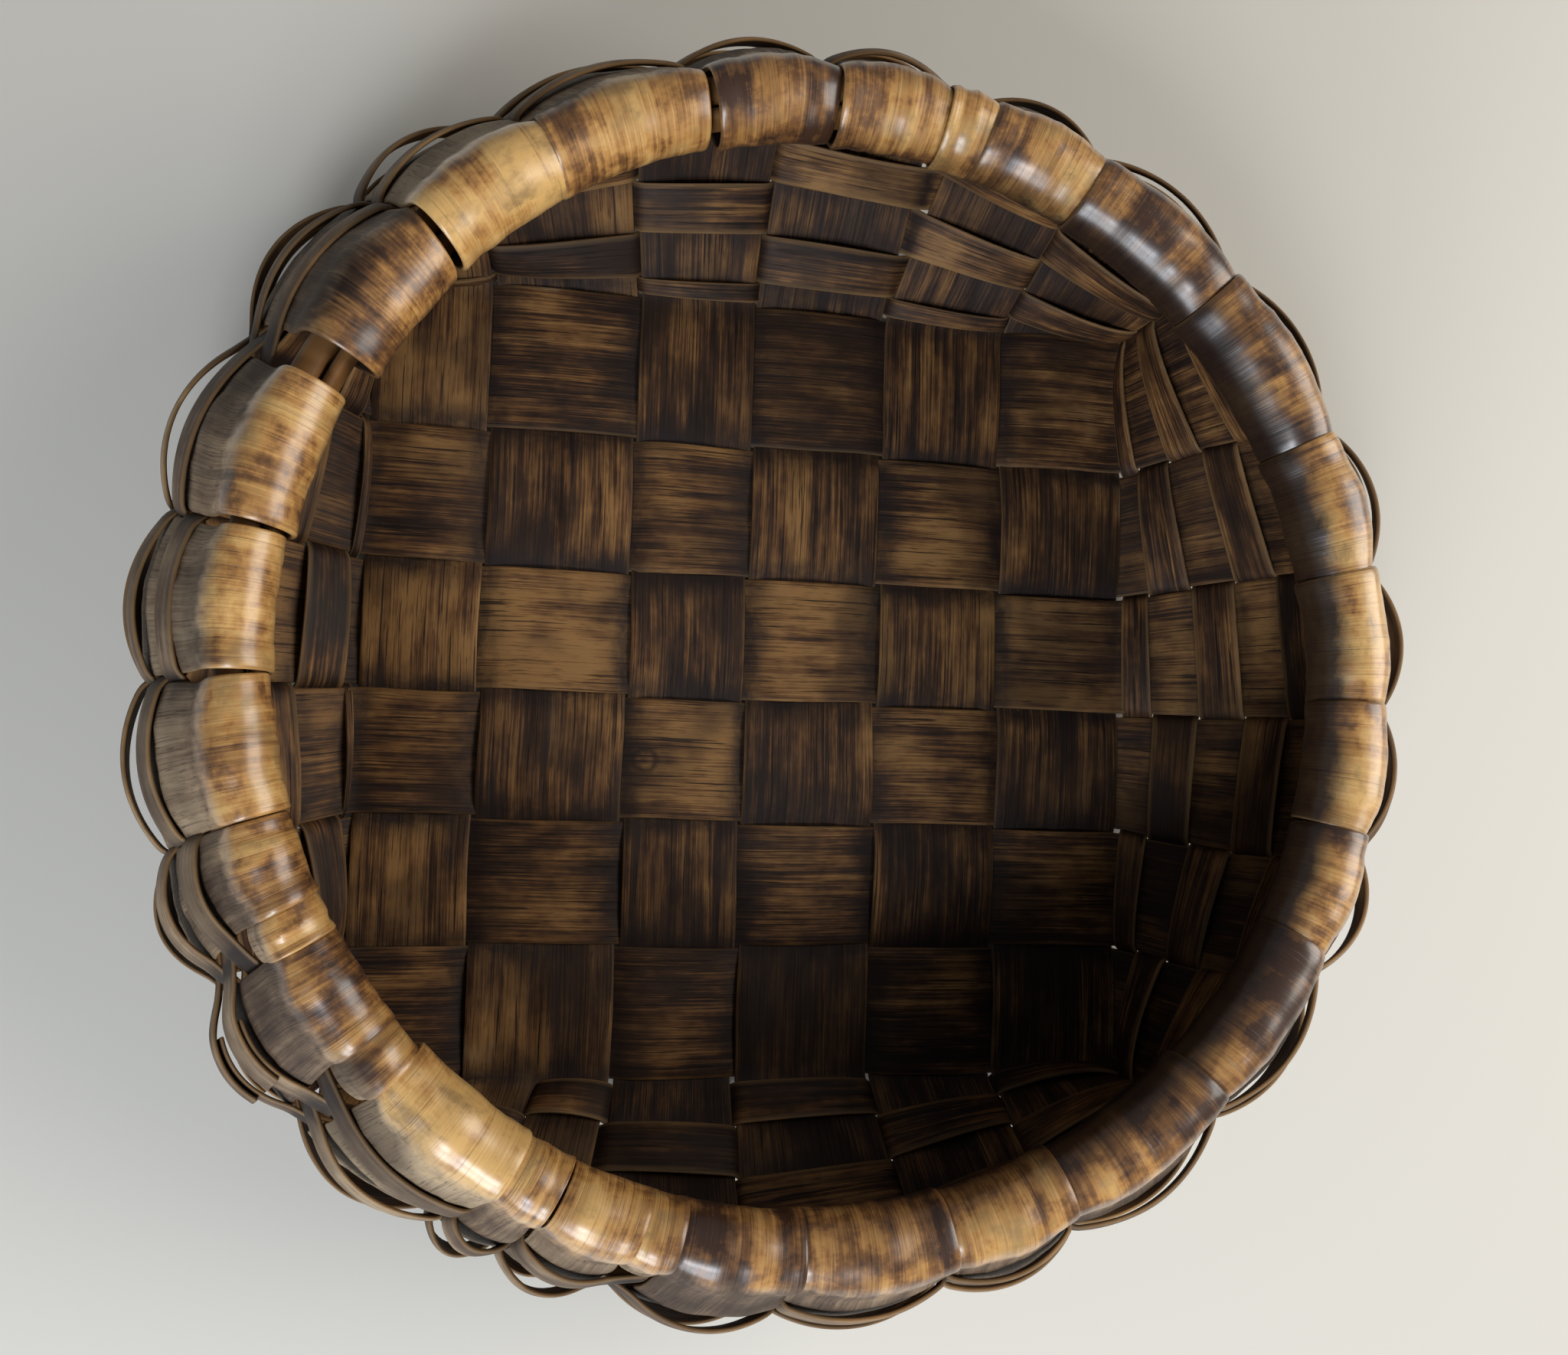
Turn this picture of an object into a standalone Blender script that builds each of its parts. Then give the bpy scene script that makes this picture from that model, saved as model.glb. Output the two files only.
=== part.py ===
"""Woven splint basket: a square plain-woven base whose twelve wide splints turn up as stakes,
a narrower splint woven round them in a rising spiral, and a rim where every stake folds inward
over two hoops.

Angles run clockwise from the +Y side, as seen from above. Lengths are in metres.
"""

import math

import bmesh
import bpy
import numpy as np

# Splints
SPLINT_THICKNESS = 0.0016
CLEARANCE = 0.0004
LEVEL_STEP = SPLINT_THICKNESS + CLEARANCE

# Base. Rows run along X and are listed from +Y, columns run along Y and are listed from -X
BASE_HALF = 0.1395
BASE_SPLINT_GAP = 0.0034
ROW_SHARES = (1.14, 1.03, 0.95, 0.94, 0.94, 1.00)
COLUMN_SHARES = (0.88, 1.10, 0.91, 1.05, 1.00, 1.06)
LOW_LEVEL = SPLINT_THICKNESS / 2
HIGH_LEVEL = LOW_LEVEL + LEVEL_STEP
WALL_FOOT = (LOW_LEVEL + HIGH_LEVEL) / 2
CROWN = 0.0012

# Wall: radius and height of the curve that the stakes follow above the middle of each side
WALL_CURVE = ((BASE_HALF, WALL_FOOT), (0.180, 0.030), (0.212, 0.070), (0.1736, 0.1060))
CORNER_FADE = 2.5

# The hand-made rim is slightly oval and its centre is a little off, towards +X. The upper wall follows
RIM_OFFSET = (0.0037, 0.0011)
RIM_OVALNESS = 0.00135
DRIFT_START = 0.5
DRIFT_POWER = 1.5

STAKE_RISES = (0.06, 0.15, 0.27, 0.41, 0.55, 0.69, 0.83, 0.965)
STAKE_INSET = math.radians(0.9)
INSET_RISE = 0.035
NORMAL_STEP = math.radians(2.0)
RISE_STEP = 0.02

# Weaver: eight rounds of one spiral. The first and last rounds are tapered, to keep the wall level
ROUNDS = 8
WEAVER_LOW = 0.043
WEAVER_HIGH = 0.965
WEAVER_GAP = 0.0063
TAPERED_START = 0.06
STAKES_LEFT_AT_END = 5
OUTSIDE_BULGE = 0.0080
LOWEST_BULGE = 0.0030
FULL_BULGE_RISE = 0.35
INSIDE_BULGE = 0.0050
PASSING_STEP = 0.0027
STAKE_EDGE = 0.40
LAP_START = -0.26
LAP_END = 0.24
LAP_STEP = LEVEL_STEP + 0.0004

# Rim: each hoop as its inner radius, outer radius, lowest and highest point
OUTER_HOOP = (0.1605, 0.1715, 0.1072, 0.1188)
INNER_HOOP = (0.1549, 0.1597, 0.1050, 0.1160)
HOOP_CHAMFER = 0.0022
HOOP_SEGMENTS = 36

# Flap: the end of a stake, folded inward over both hoops and tucked down behind the inner one
FLAP_OUTER_RADIUS = 0.1743
FLAP_INNER_RADIUS = 0.1527
FLAP_SPRING = 0.1135
FLAP_RISE = 0.0092
FLAP_STEPS = 5
FLAP_TUCK = ((0.1529, 0.1080), (0.1545, 0.1045), (0.1577, 0.1020))
FLAP_GAP = math.radians(0.35)

# The stretch of rim that each flap covers, in degrees, clockwise from the lowest row's left end
LEFT_FLAPS = ((229.5, 240), (244, 252.5), (253, 266), (267, 280), (281, 295.5), (299.5, 314))
TOP_FLAPS = ((315, 329), (329, 345.5), (346.5, 359), (359.5, 10.5), (15.5, 27.5), (27.5, 45))
RIGHT_FLAPS = ((45, 63.5), (63.5, 78), (78, 92), (92, 105.5), (105.5, 118), (118, 135.5))
BOTTOM_FLAPS = ((135.5, 154), (154, 166.5), (166.5, 181.5), (181.5, 193.5), (197.5, 211), (211, 225))
FILLER_FLAPS = ((10.5, 15.5), (193.5, 197.5), (225, 229.5), (240, 244))
SPLIT_COLUMN = 1
SPLIT_SHARE = 0.62

# Colours as linear RGB, each with its roughness
BASE_WOOD = ((0.245, 0.118, 0.045), 0.62)
WEAVER_WOOD = ((0.190, 0.118, 0.062), 0.70)
HOOP_WOOD = ((0.300, 0.165, 0.070), 0.60)
FILLER_WOOD = ((0.330, 0.170, 0.062), 0.55)
SHARP_ANGLE = math.radians(35)


def clear_scene():
    for thing in list(bpy.data.objects):
        bpy.data.objects.remove(thing, do_unlink=True)


def splint_edges(shares):
    """The two edges of each splint across the base, from the negative side to the positive."""
    width = 2 * BASE_HALF / sum(shares)
    edges = []
    start = -BASE_HALF
    for share in shares:
        end = start + share * width
        edges.append((start + BASE_SPLINT_GAP / 2, end - BASE_SPLINT_GAP / 2))
        start = end
    return edges


COLUMNS = splint_edges(COLUMN_SHARES)
ROWS = [(-low, -high) for low, high in splint_edges(ROW_SHARES)]


def wall_curve(share):
    """Radius and height at a share of the way along the Bezier curve of the wall."""
    first, second, third, last = (np.array(point) for point in WALL_CURVE)
    rest = 1.0 - share
    near_first = rest**3 * first + 3 * rest**2 * share * second
    return near_first + 3 * rest * share**2 * third + share**3 * last


CURVE_SHARES = np.linspace(0.0, 1.0, 81)
CURVE_POINTS = np.array([wall_curve(share) for share in CURVE_SHARES])
CURVE_STEPS = np.linalg.norm(np.diff(CURVE_POINTS, axis=0), axis=1)
CURVE_LENGTHS = np.concatenate(([0.0], np.cumsum(CURVE_STEPS)))


def ring_point(angle, radius, height):
    return np.array((radius * math.sin(angle), radius * math.cos(angle), height))


def rim_drift(angle):
    """How much further out the rim lies at this angle than a true circle would."""
    offset = RIM_OFFSET[0] * math.sin(angle) + RIM_OFFSET[1] * math.cos(angle)
    return offset + RIM_OVALNESS * math.cos(2 * angle)


def rim_point(angle, radius, height):
    return ring_point(angle, radius + rim_drift(angle), height)


def wall_point(angle, rise):
    """A point of the wall. Its rise is its share of the slant height, from the base to the rim."""
    share = np.interp(rise * CURVE_LENGTHS[-1], CURVE_LENGTHS, CURVE_SHARES)
    radius, height = wall_curve(share)
    corner = BASE_HALF / max(abs(math.sin(angle)), abs(math.cos(angle))) - BASE_HALF
    radius += corner * (1.0 - share) ** CORNER_FADE
    radius += rim_drift(angle) * max(0.0, (share - DRIFT_START) / (1.0 - DRIFT_START)) ** DRIFT_POWER
    return ring_point(angle, radius, height)


def wall_normal(angle, rise):
    """The outward direction of the wall, from points a few degrees apart, so it turns smoothly."""
    around = wall_point(angle + NORMAL_STEP, rise) - wall_point(angle - NORMAL_STEP, rise)
    above = min(rise + RISE_STEP, 1.0)
    below = max(rise - RISE_STEP, 0.0)
    upward = wall_point(angle, above) - wall_point(angle, below)
    normal = np.cross(upward, around)
    return normal / np.linalg.norm(normal)


class Stake:
    """The upturned end of a splint: the angles of its first edge, middle and last edge, clockwise."""

    def __init__(self, base, rim):
        self.base = base
        self.rim = rim

    def angle(self, line, rise):
        """The angle of line 0, 1 or 2 at this rise. The edges are drawn in where the weaver passes."""
        inset = STAKE_INSET * min(1.0, rise / INSET_RISE, (1.0 - rise) / INSET_RISE)
        return self.base[line] + (self.rim[line] - self.base[line]) * rise + inset * (1 - line)


def next_angle(angle, before):
    """The same direction, counted on past the angle before it."""
    return angle + math.tau * math.ceil((before - angle) / math.tau)


def stake_feet():
    """Where each splint end leaves the base: two corners, clockwise from the lowest row's left end."""
    left = [((-BASE_HALF, low), (-BASE_HALF, high)) for high, low in reversed(ROWS)]
    top = [((low, BASE_HALF), (high, BASE_HALF)) for low, high in COLUMNS]
    right = [((BASE_HALF, high), (BASE_HALF, low)) for high, low in ROWS]
    bottom = [((high, -BASE_HALF), (low, -BASE_HALF)) for low, high in reversed(COLUMNS)]
    return left + top + right + bottom


def make_stakes():
    """The 24 ends of the twelve splints, clockwise, with angles that only grow."""
    stakes = []
    base_before = 0.0
    rim_before = 0.0
    flaps = LEFT_FLAPS + TOP_FLAPS + RIGHT_FLAPS + BOTTOM_FLAPS
    for foot, flap in zip(stake_feet(), flaps):
        first, last = np.array(foot)
        base = []
        for x, y in (first, (first + last) / 2, last):
            base_before = next_angle(math.atan2(x, y), base_before)
            base.append(base_before)
        start = next_angle(math.radians(flap[0]), rim_before) + FLAP_GAP / 2
        end = next_angle(math.radians(flap[1]), start) - FLAP_GAP / 2
        rim_before = end
        stakes.append(Stake(base, [start, (start + end) / 2, end]))
    return stakes


def split_stake(whole):
    """The two stakes made by splitting one down its middle, clockwise."""
    parting = whole.rim[0] + (whole.rim[2] - whole.rim[0]) * SPLIT_SHARE
    halves = []
    spans = ((0, whole.rim[0], parting), (1, parting + FLAP_GAP, whole.rim[2]))
    for side, start, end in spans:
        first = whole.base[side]
        last = whole.base[side + 1]
        halves.append(Stake([first, (first + last) / 2, last], [start, (start + end) / 2, end]))
    return halves


def flap_profile():
    """Radius and height along a flap: up outside the hoops, over them, and down to its tucked end."""
    middle = (FLAP_OUTER_RADIUS + FLAP_INNER_RADIUS) / 2
    half = (FLAP_OUTER_RADIUS - FLAP_INNER_RADIUS) / 2
    profile = [(FLAP_OUTER_RADIUS, OUTER_HOOP[2])]
    for step in range(FLAP_STEPS + 1):
        turn = math.pi * step / FLAP_STEPS
        profile.append((middle + half * math.cos(turn), FLAP_SPRING + FLAP_RISE * math.sin(turn)))
    return profile + list(FLAP_TUCK)


def stake_line(stake, line, foot_level):
    """The points of one line of a stake, from the edge of the base up the wall and over the rim."""
    foot = wall_point(stake.angle(line, 0.0), 0.0)
    foot[2] = foot_level
    wall = [wall_point(stake.angle(line, rise), rise) for rise in STAKE_RISES]
    flap = [rim_point(stake.rim[line], radius, height) for radius, height in flap_profile()]
    return [foot] + wall + flap


def base_stations(crossed, over):
    """Place and height of a splint's points across the base, over and under the ones it crosses."""
    stations = []
    margin = BASE_SPLINT_GAP / 8
    for start, end in crossed:
        level = HIGH_LEVEL if over else LOW_LEVEL
        stations.append((start - margin, level))
        if over:
            stations.append(((start + end) / 2, level + CROWN))
        stations.append((end + margin, level))
        over = not over
    return stations


def splint(name, strips):
    """A splint made of strips of faces, each between two lines of points, thickened by Solidify."""
    shape = bmesh.new()
    for first_line, second_line in strips:
        first = [shape.verts.new(point) for point in first_line]
        second = [shape.verts.new(point) for point in second_line]
        for i in range(len(first) - 1):
            shape.faces.new((first[i], first[i + 1], second[i + 1], second[i]))
    bmesh.ops.remove_doubles(shape, verts=shape.verts, dist=1e-6)
    thing = new_object(name, shape)
    thickness = thing.modifiers.new("Thickness", "SOLIDIFY")
    thickness.thickness = SPLINT_THICKNESS
    thickness.offset = 0.0
    thickness.use_even_offset = True
    thickness.use_quality_normals = True
    return thing


def new_object(name, shape):
    mesh = bpy.data.meshes.new(name)
    shape.to_mesh(mesh)
    shape.free()
    thing = bpy.data.objects.new(name, mesh)
    bpy.context.scene.collection.objects.link(thing)
    return thing


def row_splint(number, left, right):
    """A splint along X: its left stake, its stretch of the base and its right stake."""
    high, low = ROWS[number]
    stations = base_stations(COLUMNS, over=number % 2 == 1)
    lines = []
    for line, y in enumerate((high, (high + low) / 2, low)):
        left_end = stake_line(left, 2 - line, stations[0][1])
        base = [np.array((x, y, z)) for x, z in stations]
        right_end = stake_line(right, line, stations[-1][1])
        lines.append(left_end[::-1] + base + right_end)
    return splint(f"row_splint_{number + 1}", zip(lines, lines[1:]))


def column_splint(number, top, feet):
    """A splint along Y: its top stake, its stretch of the base, and its foot, whole or in halves."""
    low, high = COLUMNS[number]
    crossed = [(row_low, row_high) for row_high, row_low in reversed(ROWS)]
    stations = base_stations(crossed, over=number % 2 == 1)[::-1]
    lines = []
    for line, x in enumerate((low, (low + high) / 2, high)):
        top_end = stake_line(top, line, stations[0][1])
        base = [np.array((x, y, z)) for y, z in stations]
        lines.append(top_end[::-1] + base)
    if len(feet) == 2:
        ends = [(feet[1], 2), (feet[1], 0), (feet[0], 2), (feet[0], 0)]
    else:
        ends = [(feet[0], 2), (feet[0], 1), (feet[0], 1), (feet[0], 0)]
    tails = [stake_line(stake, line, stations[-1][1]) for stake, line in ends]
    strips = [
        (lines[0] + tails[0], lines[1] + tails[1]),
        (lines[1] + tails[2], lines[2] + tails[3]),
    ]
    return splint(f"column_splint_{number + 1}", strips)


def weaver_edges(turn):
    """The rise of the weaver's lower and upper edge after this many turns of the spiral."""
    pitch = (WEAVER_HIGH - WEAVER_LOW) / (ROUNDS - 1 + TAPERED_START)
    upper = WEAVER_LOW + pitch * (turn + TAPERED_START)
    return max(WEAVER_LOW, upper - pitch + WEAVER_GAP), min(WEAVER_HIGH, upper)


def weaver_angle(stakes, index, place, rise):
    """The angle at a place across a stake, from -0.5 in the gap before it to 0.5 in the one after."""
    side = 1 if place > 0 else -1
    stake, beside = (stakes[number % len(stakes)] for number in (index, index + side))
    turned, turned_beside = (math.tau * (number // len(stakes)) for number in (index, index + side))
    middle = stake.angle(1, rise) + turned
    edge = stake.angle(1 + side, rise) + turned
    gap = (edge + beside.angle(1 - side, rise) + turned_beside) / 2
    return np.interp(abs(place), (0.0, STAKE_EDGE, 0.5), (middle, edge, gap))


def weaver_offset(index, place, rise, lapped):
    """How far the weaver stands off the wall: outside every second stake, and inside the rest."""
    side = 1 if index % 2 else -1
    if side > 0:
        bulge = np.interp(rise, (WEAVER_LOW, FULL_BULGE_RISE), (LOWEST_BULGE, OUTSIDE_BULGE))
    else:
        bulge = INSIDE_BULGE
    across = abs(place) / STAKE_EDGE
    if across > 1.0:
        offset = PASSING_STEP * (0.5 - abs(place)) / (0.5 - STAKE_EDGE)
    else:
        offset = PASSING_STEP + (bulge - PASSING_STEP) * (1.0 - across**2)
    if lapped:
        offset += LAP_STEP * np.interp(place, (LAP_END, 0.5), (1.0, 0.0))
    return side * offset


def weaver_places(number, count):
    """Where one round has its points: the stake's index in the spiral, and the place across it."""
    first = number * count
    last = first + count
    places = [(first, LAP_START), (first, 0.0), (first, LAP_END), (first, STAKE_EDGE), (first, 0.5)]
    if number == ROUNDS - 1:
        last -= STAKES_LEFT_AT_END
    for index in range(first + 1, last):
        places += [(index, -STAKE_EDGE), (index, 0.0), (index, STAKE_EDGE), (index, 0.5)]
    return places + [(last, -STAKE_EDGE), (last, 0.0), (last, LAP_END)]


def weaver_round(number, stakes):
    """One turn of the spiral, which starts lapped over the end of the turn before it."""
    edges = ([], [])
    first = number * len(stakes)
    for index, place in weaver_places(number, len(stakes)):
        lapped = number > 0 and index == first
        for edge, rise in zip(edges, weaver_edges((index + place) / len(stakes))):
            angle = weaver_angle(stakes, index, place, rise)
            off_wall = weaver_offset(index, place, rise, lapped) * wall_normal(angle, rise)
            edge.append(wall_point(angle, rise) + off_wall)
    return splint(f"weaver_round_{number + 1}", [edges])


def rim_hoop(name, section):
    """A hoop of split wood: a chamfered section spun round the rim, then moved out to its drift."""
    inner, outer, low, high = section
    cut = HOOP_CHAMFER
    lower_half = [(inner, low + cut), (inner + cut, low), (outer - cut, low), (outer, low + cut)]
    upper_half = [(outer, high - cut), (outer - cut, high), (inner + cut, high), (inner, high - cut)]
    shape = bmesh.new()
    corners = [shape.verts.new(ring_point(0.0, *corner)) for corner in lower_half + upper_half]
    sides = [shape.edges.new(pair) for pair in zip(corners, corners[1:] + corners[:1])]
    spin = {"angle": math.tau, "steps": HOOP_SEGMENTS, "axis": (0, 0, 1), "cent": (0, 0, 0)}
    bmesh.ops.spin(shape, geom=corners + sides, use_merge=True, **spin)
    bmesh.ops.remove_doubles(shape, verts=shape.verts, dist=1e-6)
    bmesh.ops.recalc_face_normals(shape, faces=shape.faces)
    for corner in shape.verts:
        x, y, height = corner.co
        corner.co = rim_point(math.atan2(x, y), math.hypot(x, y), height)
    return new_object(name, shape)


def rim_filler(number, flap):
    """A short narrow splint folded over the hoops between two stakes."""
    angles = (math.radians(flap[0]) + FLAP_GAP / 2, math.radians(flap[1]) - FLAP_GAP / 2)
    edges = [[rim_point(angle, *point) for point in flap_profile()] for angle in angles]
    return splint(f"rim_filler_{number + 1}", [edges])


def give_wood(thing, wood):
    colour, roughness = wood
    material = bpy.data.materials.new(thing.name + "_wood")
    material.use_nodes = True
    shader = material.node_tree.nodes["Principled BSDF"]
    shader.inputs["Base Color"].default_value = (*colour, 1.0)
    shader.inputs["Roughness"].default_value = roughness
    shader.inputs["Metallic"].default_value = 0.0
    material.diffuse_color = (*colour, 1.0)
    thing.data.materials.append(material)
    thing.data.shade_smooth()
    thing.data.set_sharp_from_angle(angle=SHARP_ANGLE)


def build():
    clear_scene()
    stakes = make_stakes()
    left, top, right, bottom = (stakes[start:start + 6] for start in (0, 6, 12, 18))
    left.reverse()
    bottom.reverse()
    halves = split_stake(bottom[SPLIT_COLUMN])
    for number in range(6):
        give_wood(row_splint(number, left[number], right[number]), BASE_WOOD)
    for number in range(6):
        feet = halves if number == SPLIT_COLUMN else [bottom[number]]
        give_wood(column_splint(number, top[number], feet), BASE_WOOD)
    split_index = stakes.index(bottom[SPLIT_COLUMN])
    woven = stakes[:split_index] + halves + stakes[split_index + 1:]
    for number in range(ROUNDS):
        give_wood(weaver_round(number, woven), WEAVER_WOOD)
    give_wood(rim_hoop("rim_hoop_outer", OUTER_HOOP), HOOP_WOOD)
    give_wood(rim_hoop("rim_hoop_inner", INNER_HOOP), HOOP_WOOD)
    for number, flap in enumerate(FILLER_FLAPS):
        give_wood(rim_filler(number, flap), FILLER_WOOD)


build()
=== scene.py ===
# %% [markdown]
# # A woven basket of split wood
#
# The basket has twelve wide splints, split along the grain and woven flat to make a square base.
# Their 24 ends turn up as stakes. A narrower splint, the weaver, goes round them in a spiral, and
# at the rim every stake folds inward over two hoops. Nothing on it moves, so all of its pieces
# ride on one body.
#
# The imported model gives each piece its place. This lesson makes each piece again as a finer sheet
# of wood, and gives it a wood made of nodes.

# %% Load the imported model
import math

import bpy
import numpy as np
from mathutils import Matrix, Vector


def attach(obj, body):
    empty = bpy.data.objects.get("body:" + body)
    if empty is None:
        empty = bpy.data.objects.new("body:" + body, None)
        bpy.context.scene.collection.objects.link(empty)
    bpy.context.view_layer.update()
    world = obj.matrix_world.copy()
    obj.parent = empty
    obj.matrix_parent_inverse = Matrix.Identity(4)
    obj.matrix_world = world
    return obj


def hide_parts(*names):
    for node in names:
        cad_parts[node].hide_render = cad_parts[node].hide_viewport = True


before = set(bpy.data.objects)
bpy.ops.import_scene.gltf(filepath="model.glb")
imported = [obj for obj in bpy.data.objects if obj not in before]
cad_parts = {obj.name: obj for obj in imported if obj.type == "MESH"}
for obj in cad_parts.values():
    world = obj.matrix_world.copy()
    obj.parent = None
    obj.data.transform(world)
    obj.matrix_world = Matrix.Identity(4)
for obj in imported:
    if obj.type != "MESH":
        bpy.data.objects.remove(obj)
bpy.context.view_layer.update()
print("packed pieces:", len(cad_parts))

# %% [markdown]
# ## The camera, the floor and the light
#
# The basket is seen from almost straight above, from a little left of its middle, with the wide
# lens of a telephone. It stands on a plain pale floor. The main light is a large soft lamp low on
# the right. It colours the left half of the inside and leaves the right half in shade. Two smaller
# and cooler lamps, one over the other, are like a tall window below the picture. They give the
# polished rim its long pale highlights and add little light inside.

# %% Set up the camera
CAMERA_PLACE = (-0.0863, -0.0309, 0.4848)
CAMERA_TARGET = (0.0100, 0.0035, 0.0)
CAMERA_UP = (-0.0288, 1.0, 0.0)
CAMERA_LENS_MM = 31.17
CAMERA_SENSOR_MM = 36.0
CAMERA_NEAREST = 0.01


def look_at(thing, target, up=(0.0, 0.0, 1.0)):
    """Points an object's -Z axis at a target, with its Y axis as near to up as it goes."""
    back = (thing.location - Vector(target)).normalized()
    right = Vector(up).cross(back).normalized()
    thing.rotation_euler = Matrix((right, back.cross(right), back)).transposed().to_euler()


bpy.ops.object.camera_add(location=CAMERA_PLACE)
camera = bpy.context.object
camera.data.lens = CAMERA_LENS_MM
camera.data.sensor_width = CAMERA_SENSOR_MM
camera.data.clip_start = CAMERA_NEAREST
look_at(camera, CAMERA_TARGET, CAMERA_UP)
bpy.context.scene.camera = camera
print("camera height above the floor:", CAMERA_PLACE[2])

# %% Add the lamps and the world
LAMP_TARGET = (0.0, 0.0, 0.06)
WARM = (1.0, 0.95, 0.88)
COOL = (0.88, 0.93, 1.0)
WORLD_COLOUR = (0.92, 0.95, 1.0, 1.0)
WORLD_STRENGTH = 0.17


def soft_lamp(name, place, size, power, colour):
    """A square lamp that faces the basket."""
    bpy.ops.object.light_add(type="AREA", location=place)
    lamp = bpy.context.object
    lamp.name = name
    lamp.data.size = size
    lamp.data.energy = power
    lamp.data.color = colour
    look_at(lamp, LAMP_TARGET)


# Each lamp's place, its width in metres, its power in watts and its colour
soft_lamp("key_lamp", (1.12, 0.12, 0.80), 1.0, 17.5, WARM)
soft_lamp("low_window_lamp", (-0.45, -1.15, 0.62), 0.55, 11.0, COOL)
soft_lamp("high_window_lamp", (-0.30, -0.80, 0.98), 0.30, 7.0, COOL)
world = bpy.data.worlds.new("plain_studio")
world.use_nodes = True
background = world.node_tree.nodes["Background"]
background.inputs["Color"].default_value = WORLD_COLOUR
background.inputs["Strength"].default_value = WORLD_STRENGTH
bpy.context.scene.world = world
bpy.context.scene.view_settings.view_transform = "Standard"

# %% [markdown]
# ## Colours and nodes
#
# Colours are written as sRGB hex values, and one function turns them into the linear values that
# a shader wants. One small function adds a node, sets it, and fills its inputs with values or links
# them to other nodes.


# %% Define the two helpers for materials
def linear(hex_colour):
    """The linear RGBA of an sRGB colour such as '8a6a45'."""
    channels = [int(hex_colour[i : i + 2], 16) / 255 for i in (0, 2, 4)]
    return tuple(c / 12.92 if c <= 0.04045 else ((c + 0.055) / 1.055) ** 2.4 for c in channels) + (1.0,)


def add_node(tree, kind, inputs=None, stops=(), **settings):
    """Adds a node. Inputs go by name, or by number among those in use, to a value or a node."""
    node = tree.nodes.new(kind)
    for name, value in settings.items():
        setattr(node, name, value)
    sockets = [socket for socket in node.inputs if socket.enabled]
    names = [socket.name for socket in sockets]
    for key, value in (inputs or {}).items():
        socket = sockets[key if isinstance(key, int) else names.index(key)]
        if isinstance(value, bpy.types.Node):
            value = next(result for result in value.outputs if result.enabled)
        if isinstance(value, bpy.types.NodeSocket):
            tree.links.new(value, socket)
        else:
            socket.default_value = value
    while len(stops) > len(node.color_ramp.elements if stops else ()):
        node.color_ramp.elements.new(1.0)
    for number, (position, colour) in enumerate(stops):
        node.color_ramp.elements[number].position = position
        node.color_ramp.elements[number].color = linear(colour)
    return node


print("linear mid grey:", round(linear("808080")[0], 3))

# %% Make the floor
FLOOR_SIZE = 6.0
FLOOR_LEVEL = -0.0004
FLOOR_COLOUR = linear("cbc8c0")
FLOOR_ROUGHNESS = 0.85
bpy.ops.object.select_all(action="DESELECT")
bpy.ops.mesh.primitive_plane_add(size=FLOOR_SIZE, location=(0, 0, FLOOR_LEVEL))
floor = bpy.context.object
floor.name = "floor"
floor_paint = bpy.data.materials.new("matt_painted_floor")
floor_paint.use_nodes = True
floor_shader = floor_paint.node_tree.nodes["Principled BSDF"]
floor_shader.inputs["Base Color"].default_value = FLOOR_COLOUR
floor_shader.inputs["Roughness"].default_value = FLOOR_ROUGHNESS
floor.data.materials.append(floor_paint)
print("floor colour:", [round(channel, 2) for channel in FLOOR_COLOUR[:3]])

# %% [markdown]
# ## The wood
#
# All of it is chestnut or a wood like it, riven along the grain and shaved by hand. Riven wood has
# long unbroken fibres, so most patterns are drawn out along the splint: fibres less than a
# millimetre wide, streaks of about four millimetres, short dark pores, and hairline checks.
# Stains are wider, and the smudges that hands leave on the rim lie across the grain.
#
# Each sheet's UV map is in metres, u across the splint and v along it, so every pattern is given by
# its real width and length. Noise is drawn at that size and needs no picture.

# %% Draw the patterns of riven wood
# Width across the grain and length along it in metres, then detail and roughness of the noise
GRAIN = {
    "fibre": (0.0007, 0.038, 2.0, 0.60),
    "streak": (0.0042, 0.110, 4.0, 0.64),
    "stain": (0.019, 0.042, 4.0, 0.62),
    "pores": (0.0006, 0.007, 1.0, 0.50),
    "checks": (0.0009, 0.045, 2.0, 0.50),
    "smudges": (0.017, 0.0110, 5.0, 0.66),
    "soil": (0.055, 0.050, 3.0, 0.60),
}

# How far the first pattern's noise is shifted, and each other's from the one before it
FIRST_SHIFT = 1.9
NEXT_SHIFT = 7.3


def grain_patterns(tree):
    """Noise for each pattern, as nodes by name, and the place in metres that they are drawn from."""
    metres = add_node(tree, "ShaderNodeUVMap", uv_map="UVMap")
    patterns = {"metres": metres}
    for number, (name, (width, length, detail, roughness)) in enumerate(GRAIN.items()):
        shift = NEXT_SHIFT * number + FIRST_SHIFT
        place = {"Vector": metres, "Location": (shift, 2 * shift, shift)}
        place["Scale"] = (1 / width, 1 / length, 1)
        noise = {"Scale": 1.0, "Detail": detail, "Roughness": roughness}
        noise["Vector"] = add_node(tree, "ShaderNodeMapping", place)
        patterns[name] = add_node(tree, "ShaderNodeTexNoise", noise)
    return patterns


print("patterns:", ", ".join(GRAIN))
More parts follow.
